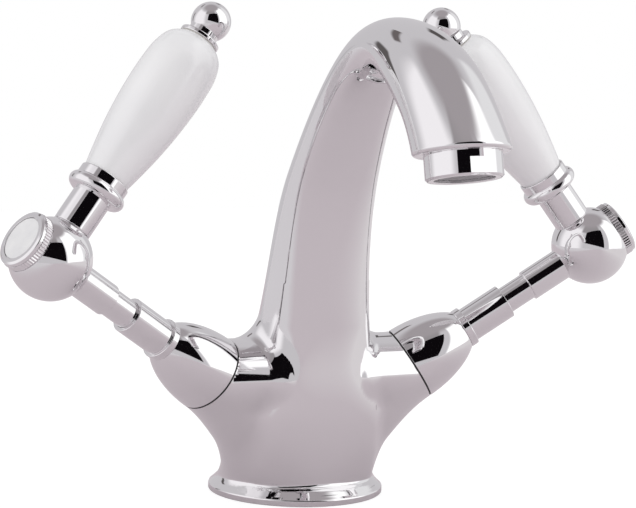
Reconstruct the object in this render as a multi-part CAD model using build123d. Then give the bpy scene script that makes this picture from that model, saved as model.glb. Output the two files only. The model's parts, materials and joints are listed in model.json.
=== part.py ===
from build123d import *
from math import cos, hypot, pi, radians, sin, tan
import os

# Two-handle basin mixer: one cast body with a fixed spout, and two quarter-turn lever handles.
# Millimetres. The origin is the middle of the underside, +Z is up and the spout points to -Y.
# The hot side is at -X and the cold side at +X.

# Base and neck of the casting
FLANGE_RADIUS = 30.3
FLANGE_RIM = 2.0
FLANGE_HEIGHT = 7.0
NECK_RADIUS = 26.0
NECK_BASE = 4.0
RECESS_RADIUS = 20.0
RECESS_DEPTH = 3.0
SEAL_RADIUS = 25.0
SEAL_WIDTH = 3.0
SEAL_THICKNESS = 1.8

# Column and spout, from the neck to the nozzle: front and back points (Y, Z) of each cross-section,
# half its width along X, and how square its front is (2 is an ellipse; the back is always one)
THROAT_FRONT = (-21.6, 28.0)
THROAT_BACK = (14.6, 28.0)
THROAT_HALF_WIDTH = 22.0
THROAT_SQUARENESS = 2.4
FOOT_FRONT = (-19.4, 60.0)
FOOT_BACK = (4.8, 64.0)
FOOT_HALF_WIDTH = 18.3
FOOT_SQUARENESS = 3.2
WAIST_FRONT = (-29.3, 110.6)
WAIST_BACK = (-14.0, 114.0)
WAIST_HALF_WIDTH = 15.4
WAIST_SQUARENESS = 2.9
APEX_FRONT = (-68.4, 148.0)
APEX_BACK = (-68.4, 165.4)
APEX_HALF_WIDTH = 12.4
APEX_SQUARENESS = 2.5
SHOULDER_FRONT = (-88.4, 135.2)
SHOULDER_BACK = (-104.0, 154.6)
SHOULDER_HALF_WIDTH = 14.2
SHOULDER_SQUARENESS = 2.1
NOZZLE_REACH = 113.2
NOZZLE_HEIGHT = 125.7
NOZZLE_TILT = 13.0
NOZZLE_RADIUS = 15.3
LIP_HEIGHT = 3.0
LIP_STEP_BACK = 1.1
LIP_TAPER = 0.2
SQUARING_RATE = 1.6

# Waterways in the casting
CHANNEL_RADIUS = 4.6
CHANNEL_FLOOR = 42.0
SOCKET_DEPTH = 5.0
INLET_THREAD_RADIUS = 4.6
INLET_THREAD_DEPTH = 12.0
INLET_DRILL_RADIUS = 3.4
FEED_AT = 12.0
OUTLET_DRILL_RADIUS = 3.0
STUD_THREAD_RADIUS = 3.4
STUD_OFFSET = 13.5
STUD_DEPTH = 16.0

# Stems: both valves lie on slanting axes that meet above the middle of the base
STEM_RISE = 33.4
STEM_SWEEP = 15.0
AXIS_HEIGHT = 18.1
SEAM_AT = 47.0
BOSS_RADIUS = 13.4
BOSS_ROOT_HEIGHT = 6.0
BOSS_ROOT_REACH = 23.5
BOSS_ROOT_HALF_WIDTH = 14.5
BOSS_FILLET = 7.0

# Valve inside each boss
BORE_RADIUS = 8.3
SEAT_AT = 24.0
CHAMBER_RADIUS = 9.3
CHAMBER_START = 27.5
CHAMBER_END = 36.0
CAGE_RADIUS = 7.6
CAGE_BORE = 6.65
CAGE_CEILING = 36.4
PORT_AT = 33.0
PORT_WIDTH = 6.0
PORT_HEIGHT = 4.4
HEX_FLATS = 17.0
HEX_HEIGHT = 5.0
COLLAR_RADIUS = 10.2
COLLAR_THICKNESS = 1.2
GASKET_THICKNESS = 0.8
NECK_TUBE_RADIUS = 6.0
TUBE_THREAD_RADIUS = 4.9
TUBE_THREAD_LENGTH = 7.6
SEAL_RING_HEIGHT = 4.0
SEAL_RING_BORE = 4.3
DISC_RADIUS = 6.5
DISC_THICKNESS = 2.5
DISC_PORT_OUTER = 5.2
DISC_PORT_INNER = 1.6
DISC_PORT_ANGLE = 82.0
THRUST_THICKNESS = 0.6

# Spindle
SPINDLE_RADIUS = 4.0
SPINDLE_FOOT_RADIUS = 6.3
SPINDLE_NECK_RADIUS = 3.4
RING_SECTION = 0.95
RING_GROOVE_WIDTH = 2.1
FIRST_RING_AT = 57.0
SECOND_RING_AT = 63.0
CLIP_RADIUS = 4.35
CLIP_THICKNESS = 0.8
SPLINE_RADIUS = 3.3
SPLINE_DEPTH = 0.35
SPLINE_TEETH = 20
SPLINE_START = 88.0
SPLINE_END = 104.0
SCREW_RADIUS = 2.0
SCREW_END = 95.0

# Shroud and sleeve over the valve
SHROUD_LENGTH = 22.3
SHROUD_TOP_RADIUS = 7.0
SHROUD_WALL = 1.5
SLEEVE_COLLAR_RADIUS = 7.2
SLEEVE_COLLAR_HEIGHT = 2.7
SLEEVE_RADIUS = 6.2
SLEEVE_END = 87.6
SLEEVE_LEDGE_AT = 80.4

# Handle hub
SPIGOT_RADIUS = 4.75
SPIGOT_START = 81.4
SHOULDER_AT = 97.4
SHOULDER_RADIUS = 5.5
BALL_AT = 123.8
BALL_RADIUS = 13.5
BALL_FACE = 9.1
LEVER_SPOT = 12.0
HEAD_BORE = 4.0
HEAD_SEAT_AT = 110.0
SCREW_HEAD_RADIUS = 3.5
SCREW_HEAD_HEIGHT = 3.0
SCREW_KEY_RADIUS = 1.75
SCREW_KEY_DEPTH = 2.0

# Index cap
CAP_RADIUS = 10.0
CAP_HEIGHT = 4.2
CAP_KNURL_START = 0.3
CAP_KNURL_HEIGHT = 2.2
CAP_TEETH = 60
CAP_TOOTH_DEPTH = 0.35
CAP_SPIGOT_RADIUS = 6.0
CAP_SPIGOT_LENGTH = 4.0
INDEX_RADIUS = 7.4
INDEX_THICKNESS = 1.2
INDEX_SUNK = 0.3

# Lever, measured from the middle of the ball
LEVER_TURN = 3.3
LEVER_LEAN = 3.9
STEM_PIECE_RADIUS = 6.5
STEM_PIECE_END = 24.3
LEVER_SPIGOT_RADIUS = 3.9
LEVER_SPIGOT_END = 5.4
BEAD_RADIUS = 10.0
BEAD_HEIGHT = 4.7
FERRULE_RADIUS = 8.6
FERRULE_END = 31.9
CUP_RADIUS = 8.0
CUP_DEPTH = 1.6
WASHER_THICKNESS = 0.4
GRIP_FOOT_RADIUS = 7.6
GRIP_RADIUS = 12.3
GRIP_TOP_RADIUS = 6.8
GRIP_LENGTH = 56.4
GRIP_BELLY_AT = 41.0
GRIP_SWELL_RADIUS = 10.8
GRIP_SWELL_AT = 17.6
GRIP_SHOULDER_RADIUS = 11.7
GRIP_SHOULDER_AT = 48.6
GRIP_FOOT_SLOPE = 0.3
GRIP_TOP_SLOPE = 0.45
GRIP_BORE = 3.3
ROD_RADIUS = 2.5
ROD_START = 15.0
FINIAL_COLLAR_RADIUS = 7.0
FINIAL_COLLAR_HEIGHT = 1.5
FINIAL_NECK_RADIUS = 5.1
FINIAL_RADIUS = 6.6
FINIAL_AT = 95.3
FINIAL_TAP_DEPTH = 7.0

# Outlet fitting
HOUSING_RADIUS = 12.0
HOUSING_DROP = 7.8
HOUSING_BORE = 10.2
HOUSING_FLATS = 22.6
HOUSING_FLAT_START = 2.4
HOUSING_LIP = 9.3
HOUSING_LIP_HEIGHT = 1.0
OUTLET_WASHER_THICKNESS = 1.6
OUTLET_WASHER_BORE = 9.0
INSERT_LENGTH = 9.0
INSERT_WALL = 1.2
SCREEN_THICKNESS = 0.5
SCREEN_PITCH = 2.4
SCREEN_HOLE = 1.5
WEB_PITCH = 3.6
WEB_HOLE = 2.25

# Fineness of the lofted sections
SECTION_POINTS = 12
SECTION_SPACING = 10.0
BOSS_SECTIONS = 6
DOME_STEPS = 4

# Clearances
THREAD_GAP = 0.05
RUNNING_GAP = 0.05
EASY_GAP = 0.15
EDGE_BREAK = 0.3


def mix(a, b, t):
    return a + (b - a) * t


def turned(points):
    """A solid of revolution about Z whose half outline runs through (radius, height) points."""
    outline = Polyline([(r, 0, z) for r, z in points], close=True)
    return revolve(make_face(outline), Axis.Z)


def ring(outer, inner, start, end):
    return turned([(inner, start), (outer, start), (outer, end), (inner, end)])


def rod(radius, start, end):
    return Pos(0, 0, start) * Cylinder(radius, end - start, align=(Align.CENTER, Align.CENTER, Align.MIN))


def drill(radius, start, end):
    """A straight round bar between two points, used as a cutter."""
    path = Vector(*end) - Vector(*start)
    plane = Plane(origin=start, z_dir=path)
    return rod(radius, 0, path.length).moved(plane.location)


def toothed(outer, depth, teeth, start, end):
    """A straight-toothed bar about Z."""
    points = []
    for step in range(2 * teeth):
        radius = outer if step % 2 else outer - depth
        angle = pi * step / teeth
        points.append((radius * cos(angle), radius * sin(angle), start))
    return extrude(make_face(Polyline(points, close=True)), end - start, dir=(0, 0, 1))


# Frames of the slanting stems, the lever and the outlet

def stem_direction(side):
    rise, sweep = radians(STEM_RISE), radians(STEM_SWEEP)
    return Vector(side * cos(rise) * cos(sweep), -cos(rise) * sin(sweep), sin(rise))


def stem_plane(side):
    """Origin where the stems meet, Z outward along the stem and X towards the lever's side."""
    along = stem_direction(side)
    up = Vector(0, 0, 1)
    square = (up - along * along.dot(up)).normalized()
    forward = Vector(-side * sin(radians(STEM_SWEEP)), -cos(radians(STEM_SWEEP)), 0)
    turn = radians(LEVER_TURN)
    return Plane(origin=(0, 0, AXIS_HEIGHT), x_dir=square * cos(turn) + forward * sin(turn), z_dir=along)


def on_stem(side, shape):
    return shape.moved(stem_plane(side).location)


def lever_plane():
    lean = radians(LEVER_LEAN)
    return Plane(origin=(0, 0, BALL_AT), x_dir=(0, 1, 0), z_dir=(cos(lean), 0, -sin(lean)))


def on_lever(shape):
    return shape.moved(lever_plane().location)


def outlet_plane(depth=0.0):
    """Middle of the nozzle's rim, Z outward; depth moves it back into the spout."""
    tilt = radians(NOZZLE_TILT)
    outward = Vector(0, -sin(tilt), -cos(tilt))
    middle = Vector(0, -NOZZLE_REACH, NOZZLE_HEIGHT) - outward * depth
    return Plane(origin=middle, x_dir=(1, 0, 0), z_dir=outward)


# Body casting

def stations():
    """Cross-sections that shape the casting: front Y, front Z, back Y, back Z, half width, squareness."""
    rim = outlet_plane()
    lip = outlet_plane(LIP_HEIGHT)
    ends = []
    for plane, radius, shift in ((lip, NOZZLE_RADIUS - LIP_TAPER, LIP_STEP_BACK), (rim, NOZZLE_RADIUS, 0)):
        back = plane.z_dir.cross(plane.x_dir)
        middle = plane.origin - back * shift
        near, far = middle - back * radius, middle + back * radius
        ends.append((near.Y, near.Z, far.Y, far.Z, radius, 2.0))
    return [
        (-NECK_RADIUS, NECK_BASE, NECK_RADIUS, NECK_BASE, NECK_RADIUS, 2.0),
        (*THROAT_FRONT, *THROAT_BACK, THROAT_HALF_WIDTH, THROAT_SQUARENESS),
        (*FOOT_FRONT, *FOOT_BACK, FOOT_HALF_WIDTH, FOOT_SQUARENESS),
        (*WAIST_FRONT, *WAIST_BACK, WAIST_HALF_WIDTH, WAIST_SQUARENESS),
        (*APEX_FRONT, *APEX_BACK, APEX_HALF_WIDTH, APEX_SQUARENESS),
        (*SHOULDER_FRONT, *SHOULDER_BACK, SHOULDER_HALF_WIDTH, SHOULDER_SQUARENESS),
        *ends,
    ]


def station_knots():
    """Distance of each station along the middle line."""
    middles = [((fy + by) / 2, (fz + bz) / 2) for fy, fz, by, bz, _, _ in stations()]
    knots = [0.0]
    for here, there in zip(middles, middles[1:]):
        knots.append(knots[-1] + hypot(there[0] - here[0], there[1] - here[1]))
    return knots


def through(knots, values, place):
    """Smooth curve through the values at the knots, made of cubic pieces."""
    slopes = [(v1 - v0) / (k1 - k0) for k0, k1, v0, v1 in zip(knots, knots[1:], values, values[1:])]
    tangents = []
    for index in range(1, len(knots) - 1):
        before, after = knots[index] - knots[index - 1], knots[index + 1] - knots[index]
        tangents.append((slopes[index - 1] * after + slopes[index] * before) / (before + after))
    tangents = [(3 * slopes[0] - tangents[0]) / 2, *tangents, (3 * slopes[-1] - tangents[-1]) / 2]
    piece = sum(1 for knot in knots[1:-1] if knot <= place)
    span = knots[piece + 1] - knots[piece]
    u = (place - knots[piece]) / span
    start = values[piece] * (1 + 2 * u) + tangents[piece] * span * u
    end = values[piece + 1] * (3 - 2 * u) + tangents[piece + 1] * span * (u - 1)
    return start * (1 - u) ** 2 + end * u**2


def section_at(place):
    """Plane of the cross-section at a place along the middle line, with its half sizes."""
    knots = station_knots()
    columns = zip(*stations())
    fy, fz, by, bz, half_width, squareness = [through(knots, column, place) for column in columns]
    front, back = Vector(0, fy, fz), Vector(0, by, bz)
    across = back - front
    plane = Plane(origin=(front + back) / 2, x_dir=(1, 0, 0), z_dir=Vector(1, 0, 0).cross(across))
    return plane, half_width, across.length / 2, squareness


def section_places():
    """Where the loft takes its sections: at the stations and at even steps between them."""
    knots = station_knots()
    places = []
    for start, end in zip(knots, knots[1:]):
        steps = max(1, round((end - start) / SECTION_SPACING))
        places += [mix(start, end, step / steps) for step in range(steps)]
    return [*places, knots[-1]]


def section_point(plane, half_width, half_depth, squareness, angle):
    """Point of a section whose back half is an ellipse and which grows squarer towards the front."""
    share = min(max(-sin(angle) * SQUARING_RATE, 0), 1)
    power = mix(2.0, squareness, share * share * (3 - 2 * share))
    size = (abs(cos(angle)) ** power + abs(sin(angle)) ** power) ** (-1 / power)
    return plane.from_local_coords((half_width * size * cos(angle), half_depth * size * sin(angle), 0))


def split_wire(plane, half_width, half_depth, squareness=2.0):
    """Section of two smooth halves that join at the middle of its front and of its back."""
    halves = []
    for start, way in ((-pi / 2, 1), (pi / 2, -1)):
        angles = [start + pi * step / SECTION_POINTS for step in range(SECTION_POINTS + 1)]
        points = [section_point(plane, half_width, half_depth, squareness, angle) for angle in angles]
        halves.append(Edge.make_spline(points, tangents=[plane.x_dir * way, plane.x_dir * -way]))
    return Wire(halves)


def closed_wire(plane, half_width, half_depth):
    """Elliptical section as one closed smooth curve."""
    angles = [pi * step / SECTION_POINTS for step in range(2 * SECTION_POINTS)]
    points = [section_point(plane, half_width, half_depth, 2.0, angle) for angle in angles]
    return Wire([Edge.make_spline(points, periodic=True)])


def column_and_spout():
    return Solid.make_loft([split_wire(*section_at(place)) for place in section_places()])


def boss(side):
    """Horn that carries one valve. Its sections fan out from the upright neck to the slanting seam."""
    rise = radians(STEM_RISE)
    along = stem_direction(side)
    outward = Vector(along.X, along.Y, 0).normalized()
    up = Vector(0, 0, 1)
    seam_height = AXIS_HEIGHT + SEAM_AT * sin(rise) - BOSS_ROOT_HEIGHT
    hinge = SEAM_AT * cos(rise) + seam_height * tan(rise)
    wires = []
    for step in range(BOSS_SECTIONS):
        share = step / (BOSS_SECTIONS - 1)
        turn = (pi / 2 - rise) * share
        settled = 1 - (1 - share) ** 3
        radius = mix(hinge, seam_height / cos(rise), settled)
        middle = outward * (hinge - radius * cos(turn)) + up * (BOSS_ROOT_HEIGHT + radius * sin(turn))
        plane = Plane(
            origin=middle,
            x_dir=up * sin(turn) - outward * cos(turn),
            z_dir=outward * sin(turn) + up * cos(turn),
        )
        reach = mix(BOSS_ROOT_REACH, BOSS_RADIUS, settled)
        half_width = mix(BOSS_ROOT_HALF_WIDTH, BOSS_RADIUS, settled)
        wires.append(closed_wire(plane, reach, half_width))
    return Solid.make_loft(wires)


def flange():
    """Base flange: upright rim, sloping top and a small step up to the neck."""
    profile = [
        (0, 0),
        (FLANGE_RADIUS - EDGE_BREAK, 0),
        (FLANGE_RADIUS, EDGE_BREAK),
        (FLANGE_RADIUS, FLANGE_RIM),
        (FLANGE_RADIUS - 2 * EDGE_BREAK, FLANGE_RIM + EDGE_BREAK),
        (NECK_RADIUS + 3 * EDGE_BREAK, FLANGE_HEIGHT - 2 * EDGE_BREAK),
        (NECK_RADIUS + EDGE_BREAK, FLANGE_HEIGHT),
        (0, FLANGE_HEIGHT),
    ]
    return turned(profile)


def outer_casting():
    column = column_and_spout()
    bosses = [boss(-1), boss(1)]
    rough = column.fuse(*bosses)
    blended = rough.fillet(BOSS_FILLET, new_edges(column, *bosses, combined=rough))
    return blended.fuse(flange().solid())


def channel():
    """Waterway up the column and along the spout, opening into the outlet socket."""
    knots = station_knots()
    places = [place for place in section_places() if place <= knots[-3]]
    planes = [section_at(place)[0] for place in places]
    planes = [plane for plane in planes if plane.origin.Z > CHANNEL_FLOOR]
    wires = [split_wire(plane, CHANNEL_RADIUS, CHANNEL_RADIUS) for plane in planes]
    mouth = OUTLET_WASHER_BORE - EDGE_BREAK
    wires.append(split_wire(outlet_plane(SOCKET_DEPTH - EDGE_BREAK), mouth, mouth))
    return Solid.make_loft(wires), planes[0].origin


def body_casting():
    body = outer_casting()
    water, low = channel()
    cutters = [
        water,
        rod(HOUSING_RADIUS, -SOCKET_DEPTH, EDGE_BREAK).moved(outlet_plane().location),
        rod(RECESS_RADIUS, -EDGE_BREAK, RECESS_DEPTH),
        ring(SEAL_RADIUS + SEAL_WIDTH, SEAL_RADIUS, -EDGE_BREAK, SEAL_THICKNESS),
        drill(STUD_THREAD_RADIUS, (0, STUD_OFFSET, 0), (0, STUD_OFFSET, STUD_DEPTH)),
    ]
    for side in (-1, 1):
        along = stem_direction(side)
        meet = Vector(0, 0, AXIS_HEIGHT) + along * FEED_AT
        inlet, thread_end = (meet.X, meet.Y, 0), (meet.X, meet.Y, RECESS_DEPTH + INLET_THREAD_DEPTH)
        chamber = Vector(0, 0, AXIS_HEIGHT) + along * (CHAMBER_START + CHAMBER_END) / 2
        cutters += [
            on_stem(side, rod(BORE_RADIUS, SEAT_AT, SEAM_AT + EDGE_BREAK)),
            on_stem(side, rod(CHAMBER_RADIUS, CHAMBER_START, CHAMBER_END)),
            on_stem(side, rod(INLET_DRILL_RADIUS, FEED_AT - INLET_DRILL_RADIUS, SEAT_AT + EDGE_BREAK)),
            drill(INLET_DRILL_RADIUS, inlet, tuple(meet)),
            drill(INLET_THREAD_RADIUS, inlet, thread_end),
            drill(OUTLET_DRILL_RADIUS, tuple(low), tuple(chamber)),
        ]
    for cutter in cutters:
        body = body.cut(cutter.solid())
    return body


# Outlet fitting, built with Z outward from the nozzle's rim

def outlet_pieces():
    top = -SOCKET_DEPTH + OUTLET_WASHER_THICKNESS
    thread = HOUSING_RADIUS - THREAD_GAP
    lip_top = HOUSING_DROP - HOUSING_LIP_HEIGHT
    housing = turned(
        [
            (HOUSING_BORE, top),
            (thread, top),
            (thread, HOUSING_DROP - 2 * EDGE_BREAK),
            (thread - 2 * EDGE_BREAK, HOUSING_DROP),
            (HOUSING_LIP, HOUSING_DROP),
            (HOUSING_LIP, lip_top),
            (HOUSING_BORE, lip_top),
        ]
    )
    flats = Pos(0, 0, HOUSING_FLAT_START) * Box(
        4 * HOUSING_RADIUS, HOUSING_FLATS, HOUSING_DROP, align=(Align.CENTER, Align.CENTER, Align.MIN)
    )
    collar = rod(2 * HOUSING_RADIUS, HOUSING_FLAT_START, 2 * HOUSING_DROP)
    housing = housing - (collar - flats)
    washer = ring(thread, OUTLET_WASHER_BORE, -SOCKET_DEPTH, top)
    insert_end = lip_top - SCREEN_THICKNESS
    outer = HOUSING_BORE - EASY_GAP
    start = insert_end - INSERT_LENGTH
    insert = ring(outer, outer - INSERT_WALL, start, insert_end)
    web = ring(outer, 0, start + INSERT_WALL, start + 2 * INSERT_WALL) - grid_of_pins(
        outer - INSERT_WALL, WEB_PITCH, WEB_HOLE, start, INSERT_LENGTH
    )
    screen = ring(outer, 0, insert_end, lip_top) - grid_of_pins(
        HOUSING_LIP, SCREEN_PITCH, SCREEN_HOLE, insert_end - SCREEN_THICKNESS, 3 * SCREEN_THICKNESS
    )
    pieces = {
        "aerator_housing": housing,
        "aerator_washer": washer,
        "aerator_insert": insert + web,
        "aerator_screen": screen,
    }
    return {name: piece.moved(outlet_plane().location) for name, piece in pieces.items()}


def grid_of_pins(reach, pitch, hole, start, length):
    """Square pins on a square grid inside a circle, which cut the openings of a screen."""
    count = int(reach / pitch)
    pins = []
    for row in range(-count, count + 1):
        for column in range(-count, count + 1):
            if hypot(row, column) * pitch + hole < reach:
                pins.append(Pos(column * pitch, row * pitch, start + length / 2) * Box(hole, hole, length))
    return pins


# Valve pieces, built with Z outward along the stem

def headwork():
    """Brass valve body: cage with ports, thread, hexagon and the tube that guides the spindle."""
    collar_base = SEAM_AT + GASKET_THICKNESS
    hex_base = collar_base + COLLAR_THICKNESS
    tube_end = SEAM_AT + SHROUD_LENGTH
    cage_end = SEAT_AT + SEAL_RING_HEIGHT / 2
    guide = SPINDLE_RADIUS + RUNNING_GAP
    shell = turned(
        [
            (CAGE_BORE, cage_end),
            (CAGE_RADIUS, cage_end),
            (CAGE_RADIUS, CHAMBER_END + EDGE_BREAK),
            (BORE_RADIUS - THREAD_GAP, CHAMBER_END + 2 * EDGE_BREAK),
            (BORE_RADIUS - THREAD_GAP, collar_base),
            (COLLAR_RADIUS, collar_base),
            (COLLAR_RADIUS, hex_base),
            (NECK_TUBE_RADIUS, hex_base),
            (NECK_TUBE_RADIUS, tube_end),
            (TUBE_THREAD_RADIUS, tube_end),
            (TUBE_THREAD_RADIUS, tube_end + TUBE_THREAD_LENGTH),
            (guide, tube_end + TUBE_THREAD_LENGTH),
            (guide, CAGE_CEILING),
            (CAGE_BORE, CAGE_CEILING),
        ]
    )
    across = RegularPolygon(HEX_FLATS / 2, 6, major_radius=False)
    hexagon = Pos(0, 0, hex_base) * extrude(across, HEX_HEIGHT)
    hexagon = hexagon - rod(NECK_TUBE_RADIUS, hex_base, hex_base + HEX_HEIGHT)
    port = Pos(0, 0, PORT_AT) * Box(4 * CAGE_RADIUS, PORT_WIDTH, PORT_HEIGHT)
    return shell + hexagon - port


def disc(start, turn):
    """Ceramic disc with two opposite fan-shaped ports."""
    blank = rod(DISC_RADIUS, start, start + DISC_THICKNESS)
    band = ring(DISC_PORT_OUTER, DISC_PORT_INNER, start - EDGE_BREAK, start + DISC_THICKNESS + EDGE_BREAK)
    far = 2 * DISC_RADIUS
    wide = far * tan(radians(DISC_PORT_ANGLE / 2))
    fan = make_face(Polyline([(0, 0), (far, -wide), (far, wide)], close=True))
    wedge = Pos(0, 0, start - EDGE_BREAK) * extrude(fan, DISC_THICKNESS + 2 * EDGE_BREAK)
    fans = [band & (Rot(0, 0, turn + way) * wedge) for way in (0, 180)]
    return blank - fans


def spindle(foot_start, thrust_start):
    """Spindle: broad foot that turns the disc, two ring grooves, clip groove and toothed end."""
    groove_floor = SPINDLE_RADIUS - 2 * RING_SECTION
    clip_start = SEAM_AT + SHROUD_LENGTH + TUBE_THREAD_LENGTH + EASY_GAP
    clip_end = clip_start + CLIP_THICKNESS
    outline = [(0, foot_start), (SPINDLE_FOOT_RADIUS, foot_start), (SPINDLE_FOOT_RADIUS, thrust_start)]
    outline.append((SPINDLE_RADIUS, thrust_start))
    for middle in (FIRST_RING_AT, SECOND_RING_AT):
        low, high = middle - RING_GROOVE_WIDTH / 2, middle + RING_GROOVE_WIDTH / 2
        outline += [(SPINDLE_RADIUS, low), (groove_floor, low), (groove_floor, high), (SPINDLE_RADIUS, high)]
    outline += [
        (SPINDLE_RADIUS, clip_start - EDGE_BREAK),
        (SPINDLE_NECK_RADIUS, clip_start - EDGE_BREAK),
        (SPINDLE_NECK_RADIUS, SPLINE_START),
        (0, SPLINE_START),
    ]
    teeth = toothed(SPLINE_RADIUS, SPLINE_DEPTH, SPLINE_TEETH, SPLINE_START, SPLINE_END)
    section = RING_SECTION - RUNNING_GAP / 2
    seal = Torus(SPINDLE_RADIUS - section, section)
    rings = [Pos(0, 0, middle) * seal for middle in (FIRST_RING_AT, SECOND_RING_AT)]
    clip = ring(CLIP_RADIUS, SPINDLE_NECK_RADIUS + RUNNING_GAP / 2, clip_start, clip_end)
    gap = Pos(CLIP_RADIUS, 0, clip_start) * Box(
        2 * CLIP_RADIUS, SPINDLE_NECK_RADIUS, CLIP_THICKNESS, align=(Align.CENTER, Align.CENTER, Align.MIN)
    )
    screw_hole = rod(SCREW_RADIUS + THREAD_GAP, SCREW_END - EDGE_BREAK, SPLINE_END)
    return turned(outline) + teeth - screw_hole, rings[0] + rings[1], clip - gap


def valve_pieces():
    """Pieces of one valve, fixed ones first and then those that turn."""
    seal_end = SEAT_AT + SEAL_RING_HEIGHT
    moving_start = seal_end + DISC_THICKNESS
    foot_start = moving_start + DISC_THICKNESS
    thrust_start = CAGE_CEILING - THRUST_THICKNESS
    stem, rings, clip = spindle(foot_start, thrust_start)
    seal = ring(CAGE_BORE - EASY_GAP, SEAL_RING_BORE, SEAT_AT, seal_end)
    gasket = ring(COLLAR_RADIUS, BORE_RADIUS + EASY_GAP, SEAM_AT, SEAM_AT + GASKET_THICKNESS)
    thrust = ring(CAGE_BORE - EASY_GAP, SPINDLE_RADIUS + EASY_GAP, thrust_start, CAGE_CEILING)
    fixed = {
        "inlet_seal": seal,
        "fixed_disc": disc(seal_end, 0),
        "headwork_gasket": gasket,
        "headwork": headwork(),
        "thrust_washer": thrust,
        "valve_shroud": shroud(),
        "cover_sleeve": cover_sleeve(),
    }
    turning = {
        "moving_disc": disc(moving_start, 90),
        "spindle": stem,
        "spindle_o_rings": rings,
        "spindle_clip": clip,
    }
    return fixed, turning


def dome(radius, length, top_radius):
    """Solid dome standing on Z = 0: part of an ellipsoid, cut off flat at its top radius."""
    reach = length / (1 - (top_radius / radius) ** 2) ** 0.5
    heights = [length * step / DOME_STEPS for step in range(DOME_STEPS + 1)]
    points = [(radius * (1 - (height / reach) ** 2) ** 0.5, 0, height) for height in heights]
    end_slope = length / top_radius * (radius / reach) ** 2
    side = Spline(points, tangents=[(0, 0, 1), (-end_slope, 0, 1)])
    rest = Polyline([side @ 1, (0, 0, length), (0, 0, 0), side @ 0])
    return revolve(make_face([side, *rest.edges()]), Axis.Z)


def shroud():
    """Bell-shaped shroud over the headwork, open below and bored on top for the tube."""
    outside = dome(BOSS_RADIUS, SHROUD_LENGTH, SHROUD_TOP_RADIUS)
    inner_top = SHROUD_TOP_RADIUS - SHROUD_WALL / 2
    inside = dome(BOSS_RADIUS - SHROUD_WALL, SHROUD_LENGTH - SHROUD_WALL, inner_top)
    bore = rod(NECK_TUBE_RADIUS + EASY_GAP, 0, SHROUD_LENGTH)
    return Pos(0, 0, SEAM_AT) * (outside - inside - bore)


def cover_sleeve():
    """Collared sleeve screwed on the headwork's tube; the handle's spigot turns inside it."""
    start = SEAM_AT + SHROUD_LENGTH
    step = start + SLEEVE_COLLAR_HEIGHT
    thread = TUBE_THREAD_RADIUS + THREAD_GAP
    running = SPIGOT_RADIUS + RUNNING_GAP
    return turned(
        [
            (thread, start),
            (SLEEVE_COLLAR_RADIUS - EDGE_BREAK, start),
            (SLEEVE_COLLAR_RADIUS, start + EDGE_BREAK),
            (SLEEVE_COLLAR_RADIUS, step - EDGE_BREAK),
            (SLEEVE_COLLAR_RADIUS - EDGE_BREAK, step),
            (SLEEVE_RADIUS, step),
            (SLEEVE_RADIUS, SLEEVE_END - EDGE_BREAK),
            (SLEEVE_RADIUS - EDGE_BREAK, SLEEVE_END),
            (running, SLEEVE_END),
            (running, SLEEVE_LEDGE_AT),
            (thread, SLEEVE_LEDGE_AT),
        ]
    )


# Handle pieces

def handle_hub():
    """Ball with its shoulder and spigot, bored for the spindle, its screw, the cap and the lever."""
    face_at = BALL_AT + BALL_FACE
    ball = Pos(0, 0, BALL_AT) * Sphere(BALL_RADIUS)
    shank = turned(
        [
            (0, SPIGOT_START),
            (SPIGOT_RADIUS, SPIGOT_START),
            (SPIGOT_RADIUS, SHOULDER_AT),
            (SHOULDER_RADIUS - EDGE_BREAK, SHOULDER_AT),
            (SHOULDER_RADIUS, SHOULDER_AT + EDGE_BREAK),
            (SHOULDER_RADIUS, BALL_AT),
            (0, BALL_AT),
        ]
    )
    spline_end = SPLINE_END + EASY_GAP
    cutters = [
        rod(2 * BALL_RADIUS, face_at, face_at + BALL_RADIUS),
        rod(SPINDLE_NECK_RADIUS + EASY_GAP, SPIGOT_START, SPLINE_START),
        toothed(SPLINE_RADIUS + RUNNING_GAP, SPLINE_DEPTH, SPLINE_TEETH, SPLINE_START, spline_end),
        rod(SCREW_RADIUS + EASY_GAP, spline_end, HEAD_SEAT_AT),
        rod(HEAD_BORE, HEAD_SEAT_AT, face_at),
        rod(CAP_SPIGOT_RADIUS + THREAD_GAP, face_at - CAP_SPIGOT_LENGTH - EASY_GAP, face_at),
        on_lever(rod(STEM_PIECE_RADIUS + EASY_GAP, LEVER_SPOT, 2 * BALL_RADIUS)),
        on_lever(rod(LEVER_SPIGOT_RADIUS + THREAD_GAP, LEVER_SPIGOT_END - EASY_GAP, LEVER_SPOT)),
    ]
    return ball + shank - cutters


def hub_screw():
    """Screw that draws the hub onto the spindle, with a hexagon socket in its head."""
    head = rod(SCREW_HEAD_RADIUS, HEAD_SEAT_AT, HEAD_SEAT_AT + SCREW_HEAD_HEIGHT)
    floor = HEAD_SEAT_AT + SCREW_HEAD_HEIGHT - SCREW_KEY_DEPTH
    key = Pos(0, 0, floor) * extrude(RegularPolygon(SCREW_KEY_RADIUS, 6), SCREW_HEAD_HEIGHT)
    return head + rod(SCREW_RADIUS, SCREW_END, HEAD_SEAT_AT) - key


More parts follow.
